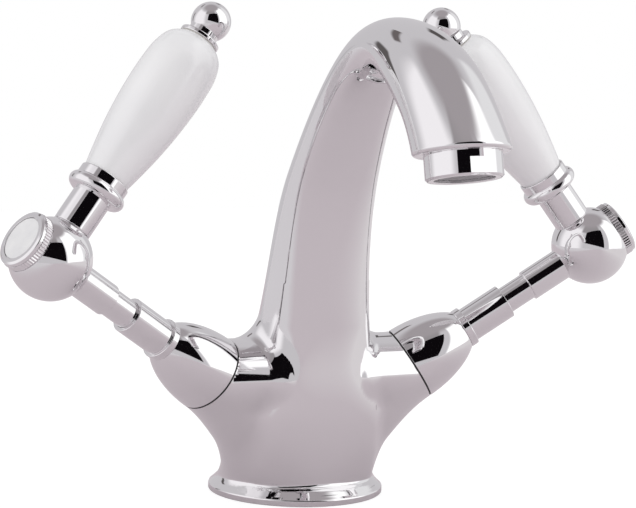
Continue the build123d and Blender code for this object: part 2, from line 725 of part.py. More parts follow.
def index_cap():
    """Knurled cap that screws into the ball's face and holds the enamel disc."""
    base = BALL_AT + BALL_FACE
    top = base + CAP_HEIGHT
    knurl_end = base + CAP_KNURL_START + CAP_KNURL_HEIGHT
    root = CAP_RADIUS - CAP_TOOTH_DEPTH
    outline = [
        (0, base - CAP_SPIGOT_LENGTH),
        (CAP_SPIGOT_RADIUS, base - CAP_SPIGOT_LENGTH),
        (CAP_SPIGOT_RADIUS, base),
        (root, base),
        (root, knurl_end),
        (CAP_RADIUS - EDGE_BREAK, knurl_end),
        (CAP_RADIUS - EDGE_BREAK, top - 3 * EDGE_BREAK),
        (CAP_RADIUS - 2 * EDGE_BREAK, top - EDGE_BREAK),
        (CAP_RADIUS - 4 * EDGE_BREAK, top),
        (INDEX_RADIUS + RUNNING_GAP, top),
        (INDEX_RADIUS + RUNNING_GAP, top - INDEX_THICKNESS - INDEX_SUNK),
        (0, top - INDEX_THICKNESS - INDEX_SUNK),
    ]
    knurl = toothed(CAP_RADIUS, CAP_TOOTH_DEPTH, CAP_TEETH, base + CAP_KNURL_START, knurl_end)
    return turned(outline) + (knurl - rod(root - EDGE_BREAK, base, top))


def index_disc():
    """Plain white enamel disc let into the cap."""
    top = BALL_AT + BALL_FACE + CAP_HEIGHT - INDEX_SUNK
    return rod(INDEX_RADIUS, top - INDEX_THICKNESS, top)


def lever_stem():
    """Plain cylinder that screws into the ball and carries the tie rod."""
    bottom = STEM_PIECE_RADIUS - EDGE_BREAK
    return turned(
        [
            (0, LEVER_SPIGOT_END),
            (LEVER_SPIGOT_RADIUS, LEVER_SPIGOT_END),
            (LEVER_SPIGOT_RADIUS, LEVER_SPOT),
            (bottom, LEVER_SPOT),
            (STEM_PIECE_RADIUS, LEVER_SPOT + EDGE_BREAK),
            (STEM_PIECE_RADIUS, STEM_PIECE_END),
            (ROD_RADIUS + THREAD_GAP, STEM_PIECE_END),
            (ROD_RADIUS + THREAD_GAP, ROD_START),
            (0, ROD_START),
        ]
    )


def lever_ferrule():
    """Bead and cup in one turned piece; the grip's foot stands in the cup."""
    bead = BEAD_HEIGHT / 2
    floor = FERRULE_END - CUP_DEPTH
    bore = ROD_RADIUS + EASY_GAP
    bead_top = STEM_PIECE_END + BEAD_HEIGHT
    inner = BEAD_RADIUS - bead
    arc = ThreePointArc(
        (inner, 0, STEM_PIECE_END), (BEAD_RADIUS, 0, STEM_PIECE_END + bead), (inner, 0, bead_top)
    )
    upper = Polyline(
        [
            (inner, 0, bead_top),
            (FERRULE_RADIUS, 0, bead_top),
            (FERRULE_RADIUS, 0, FERRULE_END - EDGE_BREAK),
            (FERRULE_RADIUS - EDGE_BREAK, 0, FERRULE_END),
            (CUP_RADIUS, 0, FERRULE_END),
            (CUP_RADIUS, 0, floor),
            (bore, 0, floor),
            (bore, 0, STEM_PIECE_END),
            (inner, 0, STEM_PIECE_END),
        ]
    )
    return revolve(make_face([arc, *upper.edges()]), Axis.Z)


def grip():
    """Porcelain grip: slender foot, full belly high up and a rounded shoulder."""
    start = FERRULE_END - CUP_DEPTH + WASHER_THICKNESS
    end = start + GRIP_LENGTH
    side = Spline(
        (GRIP_FOOT_RADIUS, 0, start),
        (GRIP_SWELL_RADIUS, 0, start + GRIP_SWELL_AT),
        (GRIP_RADIUS, 0, start + GRIP_BELLY_AT),
        (GRIP_SHOULDER_RADIUS, 0, start + GRIP_SHOULDER_AT),
        (GRIP_TOP_RADIUS, 0, end),
        tangents=[(GRIP_FOOT_SLOPE, 0, 1), (-1, 0, GRIP_TOP_SLOPE)],
    )
    rest = Polyline(
        [(GRIP_TOP_RADIUS, 0, end), (GRIP_BORE, 0, end), (GRIP_BORE, 0, start), (GRIP_FOOT_RADIUS, 0, start)]
    )
    return revolve(make_face([side, *rest.edges()]), Axis.Z), start, end


def finial(start):
    """Ball finial with its collar and short neck, tapped for the tie rod."""
    neck_base = start + FINIAL_COLLAR_HEIGHT
    neck_top = FINIAL_AT - (FINIAL_RADIUS**2 - FINIAL_NECK_RADIUS**2) ** 0.5 + EDGE_BREAK
    collar = turned(
        [
            (0, start),
            (FINIAL_COLLAR_RADIUS - EDGE_BREAK, start),
            (FINIAL_COLLAR_RADIUS, start + EDGE_BREAK),
            (FINIAL_COLLAR_RADIUS, neck_base - EDGE_BREAK),
            (FINIAL_COLLAR_RADIUS - EDGE_BREAK, neck_base),
            (FINIAL_NECK_RADIUS + EDGE_BREAK, neck_base),
            (FINIAL_NECK_RADIUS, neck_base + 2 * EDGE_BREAK),
            (FINIAL_NECK_RADIUS, neck_top),
            (0, neck_top),
        ]
    )
    ball = Pos(0, 0, FINIAL_AT) * Sphere(FINIAL_RADIUS)
    below = rod(2 * FINIAL_RADIUS, start - 2 * FINIAL_RADIUS, start)
    return collar + (ball - below) - rod(ROD_RADIUS + THREAD_GAP, start, start + FINIAL_TAP_DEPTH)


def handle_pieces():
    """Pieces of one handle; all of them turn with the spindle."""
    porcelain, grip_start, grip_end = grip()
    finial_start = grip_end + WASHER_THICKNESS
    lever = {
        "lever_stem": lever_stem(),
        "lever_ferrule": lever_ferrule(),
        "lower_grip_washer": ring(
            GRIP_FOOT_RADIUS, ROD_RADIUS + EASY_GAP, grip_start - WASHER_THICKNESS, grip_start
        ),
        "porcelain_grip": porcelain,
        "upper_grip_washer": ring(
            GRIP_TOP_RADIUS - EASY_GAP, ROD_RADIUS + EASY_GAP, grip_end, finial_start
        ),
        "tie_rod": rod(ROD_RADIUS, ROD_START, finial_start + FINIAL_TAP_DEPTH - EDGE_BREAK),
        "finial": finial(finial_start),
    }
    pieces = {name: on_lever(piece) for name, piece in lever.items()}
    pieces["handle_hub"] = handle_hub()
    pieces["hub_screw"] = hub_screw()
    pieces["index_cap"] = index_cap()
    pieces["index_disc"] = index_disc()
    return pieces


def all_pieces():
    pieces = {
        "body_casting": body_casting(),
        "base_seal": ring(SEAL_RADIUS + SEAL_WIDTH, SEAL_RADIUS, 0, SEAL_THICKNESS),
    }
    pieces.update(outlet_pieces())
    fixed, turning = valve_pieces()
    both = {**fixed, **turning, **handle_pieces()}
    for prefix, side in (("hot", -1), ("cold", 1)):
        for name, piece in both.items():
            pieces[f"{prefix}_{name}"] = on_stem(side, piece)
    return pieces


os.makedirs("parts", exist_ok=True)
for node, piece in all_pieces().items():
    export_step(piece, f"parts/{node}.step")
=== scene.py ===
import json
from math import acos, atan2, cos, pi, radians, sin, tan

import bmesh
import bpy
import numpy as np
from mathutils import Matrix, Vector

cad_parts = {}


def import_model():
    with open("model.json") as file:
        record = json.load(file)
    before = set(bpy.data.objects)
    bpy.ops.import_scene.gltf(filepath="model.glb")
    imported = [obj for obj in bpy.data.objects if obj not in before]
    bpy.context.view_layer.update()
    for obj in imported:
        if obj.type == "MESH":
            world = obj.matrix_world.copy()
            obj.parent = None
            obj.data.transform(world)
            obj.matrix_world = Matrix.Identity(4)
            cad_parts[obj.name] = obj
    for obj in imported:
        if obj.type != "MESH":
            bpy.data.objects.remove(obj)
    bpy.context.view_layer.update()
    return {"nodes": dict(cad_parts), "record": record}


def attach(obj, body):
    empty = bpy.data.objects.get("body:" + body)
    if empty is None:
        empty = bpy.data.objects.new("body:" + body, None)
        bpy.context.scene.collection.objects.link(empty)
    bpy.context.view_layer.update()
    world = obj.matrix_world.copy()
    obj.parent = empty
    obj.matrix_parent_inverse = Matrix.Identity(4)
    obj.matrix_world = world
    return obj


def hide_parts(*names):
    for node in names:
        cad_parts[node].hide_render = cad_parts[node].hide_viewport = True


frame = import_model()

# Two-handle basin mixer in polished chrome and white porcelain.
# Lengths are in millimetres and become metres where a mesh is made.
# Each height along a stem is measured from the point where the stems meet, and each height
# along a lever from the middle of the handle's ball, as in the CAD model.
MM = 0.001

# Camera and photograph
IMAGE_WIDTH = 636
FOCAL_PIXELS = 2297.6
SENSOR = 36.0
CAMERA_AZIMUTH = -25.281
CAMERA_ELEVATION = 6.515
CAMERA_DISTANCE = 794.61
CAMERA_AIM_SIDE = 5.83
CAMERA_AIM_HEIGHT = 82.594
CAMERA_ROLL = 1.613

# Flange
FLANGE_RADIUS = 30.3
FLANGE_RIM = 1.7
FLANGE_HEIGHT = 5.2
FLANGE_TOP_RADIUS = 27.0
FLANGE_SPLIT = 3.4
NECK_HALF_WIDTH = 26.2
NECK_HALF_DEPTH = 24.4
NECK_BASE = 3.5
NECK_FILLET = 1.6
RECESS_RADIUS = 20.0
RECESS_DEPTH = 3.0
SEAL_RADIUS = 25.0
SEAL_WIDTH = 3.0
SEAL_THICKNESS = 1.8

# Column and spout: front and back points (Y, Z), half width and squareness of each section
SECTIONS = [
    ((-NECK_HALF_DEPTH, NECK_BASE), (NECK_HALF_DEPTH, NECK_BASE), NECK_HALF_WIDTH, 2.0),
    ((-25.6, 28.0), (15.2, 28.0), 23.5, 4.0),
    ((-25.2, 60.0), (4.8, 64.0), 18.9, 3.2),
    ((-32.8, 109.8), (-14.0, 114.0), 15.9, 2.9),
    ((-68.4, 148.0), (-68.4, 165.4), 12.4, 2.5),
    ((-88.4, 135.2), (-104.0, 154.6), 14.2, 2.1),
]
NOZZLE_REACH = 113.2
NOZZLE_HEIGHT = 125.7
NOZZLE_TILT = 13.0
NOZZLE_RADIUS = 15.3
LIP_HEIGHT = 3.0
LIP_STEP_BACK = 1.1
LIP_TAPER = 0.2
RIM_ROUNDING = 1.2
SOCKET_RADIUS = 12.0
SOCKET_DEPTH = 5.0
CHANNEL_MOUTH = 8.7

# Stems and horns
STEM_RISE = 33.4
STEM_SWEEP = 15.0
AXIS_HEIGHT = 18.1
SEAM_AT = 47.0
BOSS_RADIUS = 13.4
BOSS_ROOT_HEIGHT = 6.0
BOSS_ROOT_REACH = 23.5
BOSS_ROOT_HALF_WIDTH = 14.5
BOSS_BLEND = 8.5
BOSS_FRONT_BLEND = 3.0
FRONT_BLEND_START = 4.0
FRONT_BLEND_RUN = 14.0
SHOULDER_BLEND = 4.0
SHOULDER_RUN = 12.0
SHOULDER_START = 11.0
SHOULDER_FULL = 17.0
SHOULDER_SWEEP = 2.5
BORE_RADIUS = 8.3
SEAT_AT = 24.0

# Seam's dark ring of painted shade, shroud and sleeve
SEAM_GAP = 0.6
SEAM_SUNK = 0.25
# Bore of the seam's dark ring of painted shade
SHADE_RING_BORE = 10.3
SHROUD_LENGTH = 22.3
SHROUD_TOP_RADIUS = 7.0
SHROUD_WALL = 1.5
SLEEVE_COLLAR_RADIUS = 7.2
SLEEVE_COLLAR_HEIGHT = 2.7
SLEEVE_RADIUS = 6.2
SLEEVE_BORE = 4.8
SLEEVE_END = 87.6

# Handle hub and index cap
SPIGOT_RADIUS = 4.75
SHOULDER_AT = 97.4
SHOULDER_RADIUS = 5.5
BALL_AT = 123.8
BALL_RADIUS = 13.5
BALL_FACE = 9.1
SPIGOT_START = 81.4
SPLINE_END = 104.2
SCREW_SEAT = 110.0
SCREW_BORE = 2.15
SCREW_HEAD_BORE = 4.0
SPLINE_BORE = 3.35
CAP_BORE = 6.05
CAP_BORE_DEPTH = 4.15
CAP_THREAD_RADIUS = 6.0
CAP_THREAD_LENGTH = 4.0
LEVER_SPOT = 12.0
CAP_RADIUS = 10.0
CAP_HEIGHT = 4.2
KNURL_START = 0.3
KNURL_HEIGHT = 2.2
KNURL_TEETH = 60
KNURL_DEPTH = 0.35
INDEX_RADIUS = 7.4
INDEX_THICKNESS = 1.2
INDEX_SUNK = 0.3

# Lever
LEVER_TURN = 3.3
LEVER_LEAN = 3.9
STEM_PIECE_RADIUS = 6.5
STEM_PIECE_END = 24.3
STEM_THREAD_RADIUS = 3.9
STEM_THREAD_START = 5.4
ROD_HOLE_START = 15.0
BEAD_RADIUS = 10.0
BEAD_HEIGHT = 4.7
FERRULE_RADIUS = 8.6
FERRULE_END = 31.9
CUP_RADIUS = 8.0
CUP_DEPTH = 1.6
WASHER_THICKNESS = 0.4
GRIP_FOOT_RADIUS = 7.6
GRIP_TOP_RADIUS = 6.8
GRIP_LENGTH = 56.4
# Radius and height of the grip's side from its foot to its top
GRIP_PROFILE = [
    (GRIP_FOOT_RADIUS, 0), (9.1, 7.5), (10.8, 17.6), (12.0, 29.5),
    (12.3, 41), (11.7, 48.6), (9.9, 53.6), (GRIP_TOP_RADIUS, GRIP_LENGTH),
]
GRIP_BORE = 3.3
ROD_RADIUS = 2.5
FINIAL_COLLAR_RADIUS = 7.0
FINIAL_COLLAR_HEIGHT = 1.5
FINIAL_NECK_RADIUS = 5.1
FINIAL_RADIUS = 6.6
FINIAL_AT = 95.3
FINIAL_HOLE_DEPTH = 7.0

# Outlet fitting, heights measured outward from the nozzle's rim
HOUSING_RADIUS = 11.95
HOUSING_DROP = 7.8
HOUSING_BORE = 10.2
HOUSING_FLATS = 22.6
HOUSING_FLAT_START = 2.4
HOUSING_LIP = 9.3
HOUSING_LIP_HEIGHT = 1.0
HOUSING_TOP = -3.4
HOUSING_CHAMFER = 0.6
MESH_PITCH = 0.85
WIRE_RADIUS = 0.17

# Fineness of the meshes
TURNS = 144
CORNER_STEPS = 4
GRID = 0.9
RING_POINTS = 176
RING_SPACING = 1.1


# Small mathematics

def mix(a, b, t):
    return a + (b - a) * t


def unit(vector):
    return np.asarray(vector, float) / np.linalg.norm(vector)


# Frames: origin, X, Y and Z of a local frame as rows

class Place:
    """A local frame in millimetres."""

    def __init__(self, origin, x_axis, z_axis):
        self.origin = np.asarray(origin, float)
        self.z = unit(z_axis)
        self.x = unit(np.asarray(x_axis, float) - self.z * np.dot(x_axis, self.z))
        self.y = np.cross(self.z, self.x)

    def points(self, local):
        local = np.asarray(local, float)
        return self.origin + local[:, :1] * self.x + local[:, 1:2] * self.y + local[:, 2:] * self.z

    def directions(self, local):
        local = np.asarray(local, float)
        return local[:, :1] * self.x + local[:, 1:2] * self.y + local[:, 2:] * self.z

    def local(self, points):
        away = np.asarray(points, float) - self.origin
        return np.stack([away @ self.x, away @ self.y, away @ self.z], 1)


def stem_direction(side):
    rise, sweep = radians(STEM_RISE), radians(STEM_SWEEP)
    return np.array([side * cos(rise) * cos(sweep), -cos(rise) * sin(sweep), sin(rise)])


def stem_place(side):
    along = stem_direction(side)
    up = np.array([0.0, 0.0, 1.0])
    square = unit(up - along * along.dot(up))
    forward = np.array([-side * sin(radians(STEM_SWEEP)), -cos(radians(STEM_SWEEP)), 0.0])
    turn = radians(LEVER_TURN)
    return Place((0, 0, AXIS_HEIGHT), square * cos(turn) + forward * sin(turn), along)


def lever_place(side):
    stem = stem_place(side)
    lean = radians(LEVER_LEAN)
    origin = stem.origin + stem.z * BALL_AT
    return Place(origin, stem.y, stem.x * cos(lean) - stem.z * sin(lean))


def outlet_place(depth=0.0):
    tilt = radians(NOZZLE_TILT)
    outward = np.array([0.0, -sin(tilt), -cos(tilt)])
    return Place(np.array([0.0, -NOZZLE_REACH, NOZZLE_HEIGHT]) - outward * depth, (1, 0, 0), outward)


BASE = Place((0, 0, 0), (1, 0, 0), (0, 0, 1))


# Meshes with exact normals

class Skin:
    """Collects faces with the exact normal at each corner, so that mirror-bright metal stays smooth."""

    def __init__(self):
        self.points = []
        self.faces = []
        self.normals = []
        self.count = 0

    def add(self, points, faces, corner_normals):
        """corner_normals holds one row for each corner of each face, in order."""
        self.points.append(np.asarray(points, float))
        self.faces += [tuple(int(i) + self.count for i in face) for face in faces]
        self.normals.append(np.asarray(corner_normals, float))
        self.count += len(points)

    def add_smooth(self, points, faces, normals):
        """Faces whose corners all take the normal of their point."""
        order = [i for face in faces for i in face]
        self.add(points, faces, np.asarray(normals)[order])

    def make(self, name, body, slot, *nodes):
        mesh = bpy.data.meshes.new(name)
        points = np.concatenate(self.points) * MM
        mesh.from_pydata([tuple(p) for p in points], [], self.faces)
        mesh.polygons.foreach_set("use_smooth", [True] * len(self.faces))
        normals = np.concatenate(self.normals)
        normals /= np.maximum(np.linalg.norm(normals, axis=1), 1e-12)[:, None]
        merged, kept = weld(mesh, normals)
        merged.normals_split_custom_set([tuple(n) for n in kept])
        merged.materials.append(MATERIALS[slot])
        piece = bpy.data.objects.new(name, merged)
        bpy.context.scene.collection.objects.link(piece)
        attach(piece, body)
        if nodes:
            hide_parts(*nodes)
        return piece


def weld(mesh, normals):
    """Joins points that coincide and drops the faces that this closes, with their corner normals."""
    work = bmesh.new()
    work.from_mesh(mesh)
    layer = work.loops.layers.float_vector.new("corner")
    loops = (loop for face in work.faces for loop in face.loops)
    for loop, normal in zip(loops, normals):
        loop[layer] = tuple(normal)
    bmesh.ops.remove_doubles(work, verts=work.verts, dist=1e-7)
    bmesh.ops.dissolve_degenerate(work, edges=work.edges, dist=1e-8)
    work.verts.index_update()
    kept = [tuple(loop[layer]) for face in work.faces for loop in face.loops]
    work.loops.layers.float_vector.remove(layer)
    work.to_mesh(mesh)
    work.free()
    return mesh, kept


# Half outlines of turned pieces

def outline(corners, closed=True):
    """Stretches of a half outline, each a list of (radius, height, normal radius, normal height).

    A corner is (radius, height) or (radius, height, rounding). The outline runs with the metal on
    its left, so that its outward normals are on its right."""
    corners = [(*corner, 0.0) if len(corner) == 2 else corner for corner in corners]
    count = len(corners)
    spans = []
    cuts = []
    for index in range(count):
        here = np.array(corners[index][:2])
        before = np.array(corners[index - 1][:2])
        after = np.array(corners[(index + 1) % count][:2])
        rounding = corners[index][2]
        if not closed and index in (0, count - 1) or rounding == 0:
            cuts.append((here, here, []))
            continue
        into, out = unit(here - before), unit(after - here)
        cross = into[0] * out[1] - into[1] * out[0]
        turn = acos(float(np.clip(into @ out, -1, 1)))
        reach = rounding * tan(turn / 2)
        start, end = here - into * reach, here + out * reach
        way = 1 if cross > 0 else -1
        centre = start + rounding * way * np.array([-into[1], into[0]])
        steps = max(CORNER_STEPS, int(turn * rounding / 0.25))
        arc = []
        for step in range(steps + 1):
            angle = way * turn * step / steps
            arm = start - centre
            spot = centre + np.array([arm[0] * cos(angle) - arm[1] * sin(angle),
                                      arm[0] * sin(angle) + arm[1] * cos(angle)])
            normal = (spot - centre) / rounding * way
            arc.append((*spot, *normal))
        cuts.append((start, end, arc))
    for index in range(count):
        if cuts[index][2]:
            spans.append(cuts[index][2])
        if not closed and index == count - 1:
            break
        start, end = cuts[index][1], cuts[(index + 1) % count][0]
        if np.linalg.norm(end - start) > 1e-6:
            run = unit(end - start)
            normal = (run[1], -run[0])
            spans.append([(*start, *normal), (*end, *normal)])
    return spans


def curve_span(function, start, end, steps):
    """Stretch of a half outline along a curve: function gives (radius, height) at each place."""
    places = np.linspace(start, end, steps + 1)
    nudge = (end - start) * 1e-4
    rows = []
    for place in places:
        spot = np.array(function(place))
        ahead = np.array(function(min(max(place + nudge, min(start, end)), max(start, end))))
        behind = np.array(function(min(max(place - nudge, min(start, end)), max(start, end))))
        run = unit(ahead - behind)
        rows.append((*spot, run[1], -run[0]))
    return rows


def lathe(skin, spans, place, turns=TURNS):
    """Turns stretches of a half outline about the place's Z axis."""
    angles = np.arange(turns) * 2 * pi / turns
    ring = np.stack([np.cos(angles), np.sin(angles)], 1)
    for span in spans:
        rows = len(span)
        points = np.zeros((rows, turns, 3))
        normals = np.zeros((rows, turns, 3))
        for row, (radius, height, out, rise) in enumerate(span):
            points[row, :, :2] = ring * max(radius, 0.0)
            points[row, :, 2] = height
            normals[row, :, :2] = ring * out
            normals[row, :, 2] = rise
        faces = []
        for row in range(rows - 1):
            for step in range(turns):
                following = (step + 1) % turns
                faces.append((row * turns + step, row * turns + following,
                              (row + 1) * turns + following, (row + 1) * turns + step))
        skin.add_smooth(place.points(points.reshape(-1, 3)), faces, place.directions(normals.reshape(-1, 3)))


def turned(name, body, slot, node, spans, place, turns=TURNS):
    """A piece that is turned in one go and takes the place of a CAD node."""
    skin = Skin()
    lathe(skin, spans, place, turns)
    skin.make(name, body, slot, node)


# Body: column and spout

def section_table():
    """Front Y, front Z, back Y, back Z, half width and squareness at each station."""
    rows = [(*front, *back, width, power) for front, back, width, power in SECTIONS]
    lip = (LIP_HEIGHT, NOZZLE_RADIUS - LIP_TAPER, LIP_STEP_BACK)
    for depth, radius, shift in (lip, (0.0, NOZZLE_RADIUS, 0.0)):
        place = outlet_place(depth)
        back = np.cross(place.z, place.x)
        middle = place.origin - back * shift
        near, far = middle - back * radius, middle + back * radius
        rows.append((near[1], near[2], far[1], far[2], radius, 2.0))
    return np.array(rows)


STATIONS = section_table()
MIDDLES = (STATIONS[:, :2] + STATIONS[:, 2:4]) / 2
KNOTS = np.concatenate([[0.0], np.cumsum(np.hypot(*np.diff(MIDDLES, axis=0).T))])


def cubic(knots, values, places):
    """Smooth curve through the values at the knots, made of cubic pieces."""
    gaps = np.diff(knots)
    slopes = np.diff(values) / gaps
    inner = (slopes[:-1] * gaps[1:] + slopes[1:] * gaps[:-1]) / (gaps[:-1] + gaps[1:])
    tangents = np.concatenate([[(3 * slopes[0] - inner[0]) / 2], inner, [(3 * slopes[-1] - inner[-1]) / 2]])
    piece = np.clip(np.searchsorted(knots, places, side="right") - 1, 0, len(gaps) - 1)
    u = (places - knots[piece]) / gaps[piece]
    start = values[piece] * (1 + 2 * u) + tangents[piece] * gaps[piece] * u
    end = values[piece + 1] * (3 - 2 * u) + tangents[piece + 1] * gaps[piece] * (u - 1)
    return start * (1 - u) ** 2 + end * u**2


def section(places):
    """Middle, direction across, half width, half depth and squareness of the sections at places."""
    columns = [cubic(KNOTS, STATIONS[:, index], places) for index in range(6)]
    front, back = np.stack(columns[:2], -1), np.stack(columns[2:4], -1)
    across = back - front
    length = np.linalg.norm(across, axis=-1)
    return (front + back) / 2, across / length[..., None], columns[4], length / 2, columns[5]


def place_of(y, z):
    """Place along the middle line whose section holds each point, found by halving."""
    low = np.zeros_like(y)
    high = np.full_like(y, KNOTS[3])
    for _ in range(26):
        guess = (low + high) / 2
        middle, across, _, _, _ = section(guess)
        beyond = (y - middle[..., 0]) * -across[..., 1] + (z - middle[..., 1]) * across[..., 0] > 0
        low, high = np.where(beyond, guess, low), np.where(beyond, high, guess)
    return (low + high) / 2


def front_power(squareness, sine):
    """Exponent of a section's outline: 2 at the back, growing to its squareness at the front."""
    share = np.clip(-sine * 1.6, 0, 1)
    return 2 + (squareness - 2) * share * share * (3 - 2 * share)


def column_distance(points):
    """Roughly the distance of each point from the column's surface, negative inside."""
    place = place_of(points[:, 1], points[:, 2])
    middle, across, half_width, half_depth, squareness = section(place)
    depth = ((points[:, 1:] - middle) * across).sum(-1)
    return oval_distance(points[:, 0], depth, half_width, half_depth, squareness)


def oval_distance(x, y, half_width, half_depth, squareness=None):
    u, v = np.abs(x) / half_width, np.abs(y) / half_depth
    size = np.hypot(u, v) + 1e-9
    power = 2.0 if squareness is None else front_power(squareness, np.sign(y) * v / size)
    level = (u**power + v**power + 1e-12) ** (1 / power)
    slope = level ** (1 - power) * np.hypot(u ** (power - 1) / half_width, v ** (power - 1) / half_depth)
    return (level - 1) / np.maximum(slope, 1e-6)


# Body: horns

def join(a, b, radius):
    """Union of two distances with a round fillet between them."""
    corner = np.hypot(np.maximum(radius - a, 0), np.maximum(radius - b, 0))
    return np.maximum(radius, np.minimum(a, b)) - corner


def horn_distance(points, side):
    rise = radians(STEM_RISE)
    along = stem_direction(side)
    outward = unit((along[0], along[1], 0))
    aside = np.array([-outward[1], outward[0], 0.0])
    seam_height = AXIS_HEIGHT + SEAM_AT * sin(rise) - BOSS_ROOT_HEIGHT
    hinge = SEAM_AT * cos(rise) + seam_height * tan(rise)
    out, height = points @ outward, points[:, 2] - BOSS_ROOT_HEIGHT
    turn = np.arctan2(height, np.maximum(hinge - out, 1e-6))
    share = np.clip(turn / (pi / 2 - rise), 0, 1)
    settled = 1 - (1 - share) ** 3
    radius = mix(hinge, seam_height / cos(rise), settled)
    offset = np.hypot(hinge - out, height) - radius
    fan = oval_distance(offset, points @ aside, mix(BOSS_ROOT_REACH, BOSS_RADIUS, settled),
                        mix(BOSS_ROOT_HALF_WIDTH, BOSS_RADIUS, settled))
    stem = points - np.array([0, 0, AXIS_HEIGHT])
    reach = stem @ along
    straight = np.linalg.norm(stem - reach[:, None] * along, axis=1) - BOSS_RADIUS
    blend = np.clip((SEAM_AT - reach) / SHOULDER_RUN, 0, 1) * SHOULDER_BLEND
    return np.where(reach > SEAM_AT, straight, join(fan, shoulder_distance(stem, along, reach), blend))


def shoulder_distance(stem, along, reach):
    """Level shoulder between the column and the seam: the seam's circle carried along a level line."""
    line = unit((np.sign(along[0]), tan(radians(SHOULDER_SWEEP)), 0))
    shift = (SEAM_AT - reach) / (along @ line)
    spoke = stem - SEAM_AT * along + shift[:, None] * line
    length = np.linalg.norm(spoke, axis=1) + 1e-9
    out = stem[:, 0] * np.sign(along[0])
    tuck = 1 - np.clip((out - SHOULDER_START) / (SHOULDER_FULL - SHOULDER_START), 0, 1)
    shrink = BOSS_FRONT_BLEND * tuck**2 + np.maximum(-out, 0)
    return (length - BOSS_RADIUS) / np.hypot(1, spoke @ line / length / (along @ line)) + shrink


def flange_slope():
    """Unit normal (radius, height) of the flange's steep top and a point on it."""
    run, rise = FLANGE_RADIUS - FLANGE_TOP_RADIUS - 0.6, FLANGE_HEIGHT - FLANGE_RIM - 0.9
    return unit((rise, run)), np.array([FLANGE_RADIUS - 0.3, FLANGE_RIM + 0.6])


def flange_distance(points):
    normal, spot = flange_slope()
    radius = np.hypot(points[:, 0], points[:, 1])
    slope = (radius - spot[0]) * normal[0] + (points[:, 2] - spot[1]) * normal[1]
    return -join(-slope, FLANGE_HEIGHT - points[:, 2], 0.8)


def casting_distance(points):
    column = column_distance(points)
    front = np.clip((-points[:, 1] - FRONT_BLEND_START) / FRONT_BLEND_RUN, 0, 1)
    blend = mix(BOSS_BLEND, BOSS_FRONT_BLEND, front * front * (3 - 2 * front))
    hot = join(column, horn_distance(points, -1), blend)
    both = join(hot, horn_distance(points, 1), blend)
    return join(both, flange_distance(points), NECK_FILLET)


def slope_of(points, nudge=0.02):
    parts = []
    for axis in range(3):
        step = np.zeros(3)
        step[axis] = nudge
        parts.append(casting_distance(points + step) - casting_distance(points - step))
    return np.stack(parts, 1) / (2 * nudge)


def settle(points, rounds=3):
    """Moves points onto the casting's surface."""
    for _ in range(rounds):
        slope = slope_of(points)
        level = casting_distance(points)
        points = points - slope * (level / np.maximum((slope**2).sum(1), 1e-6))[:, None]
    return points


def surface_net(values, low, step):
    """Points and four-sided faces where a grid of values changes sign."""
    inside = values < 0
    total = np.zeros(tuple(n - 1 for n in values.shape))
    middle = np.zeros((*total.shape, 3))
    quads = []
    numbers = -np.ones(total.shape, int)
    edges = []
    for axis in range(3):
        first = [slice(None)] * 3
        second = [slice(None)] * 3
        first[axis], second[axis] = slice(0, -1), slice(1, None)
        a, b = values[tuple(first)], values[tuple(second)]
        crossing = np.argwhere(inside[tuple(first)] != inside[tuple(second)])
        side_axes = [other for other in range(3) if other != axis]
        keep = np.ones(len(crossing), bool)
        for other in side_axes:
            keep &= (crossing[:, other] > 0) & (crossing[:, other] < values.shape[other] - 1)
        crossing = crossing[keep]
        at = tuple(crossing.T)
        spots = crossing.astype(float)
        spots[:, axis] += a[at] / (a[at] - b[at])
        around = []
        for back_first, back_second in ((1, 1), (0, 1), (0, 0), (1, 0)):
            cell = crossing.copy()
            cell[:, side_axes[0]] -= back_first
            cell[:, side_axes[1]] -= back_second
            cell_at = tuple(cell.T)
            np.add.at(total, cell_at, 1)
            np.add.at(middle, cell_at, spots)
            around.append(cell)
        edges.append((np.stack(around, 1), inside[tuple(first)][at] == (axis != 1)))
    used = total > 0
    numbers[used] = np.arange(used.sum())
    points = low + step * middle[used] / total[used][:, None]
    for around, forward in edges:
        rows = numbers[around[..., 0], around[..., 1], around[..., 2]]
        rows[~forward] = rows[~forward][:, ::-1]
        quads.append(rows)
    return points, np.concatenate(quads)


def relax(points, quads, rounds=6):
    """Evens out the faces while the points stay on the surface."""
    pairs = np.concatenate([quads[:, [0, 1]], quads[:, [1, 2]], quads[:, [2, 3]], quads[:, [3, 0]]])
    pairs = np.unique(np.sort(pairs, axis=1), axis=0)
    for _ in range(rounds):
        sums = np.zeros_like(points)
        counts = np.zeros(len(points))
        for a, b in ((0, 1), (1, 0)):
            np.add.at(sums, pairs[:, a], points[pairs[:, b]])
            np.add.at(counts, pairs[:, a], 1)
        points = settle(mix(points, sums / counts[:, None], 0.6), 1)
    return settle(points, 2)


def cut(work, place, reach):
    """Trims a mesh at a place's XY plane, where the mesh lies within reach of the place."""
    origin = Vector(place.origin)
    faces = [face for face in work.faces if (face.calc_center_median() - origin).length < reach]
    edges = {edge for face in faces for edge in face.edges}
    verts = {vert for face in faces for vert in face.verts}
    bmesh.ops.bisect_plane(
        work, geom=[*verts, *edges, *faces], dist=1e-5,
        plane_co=origin, plane_no=Vector(place.z), clear_outer=True,
    )


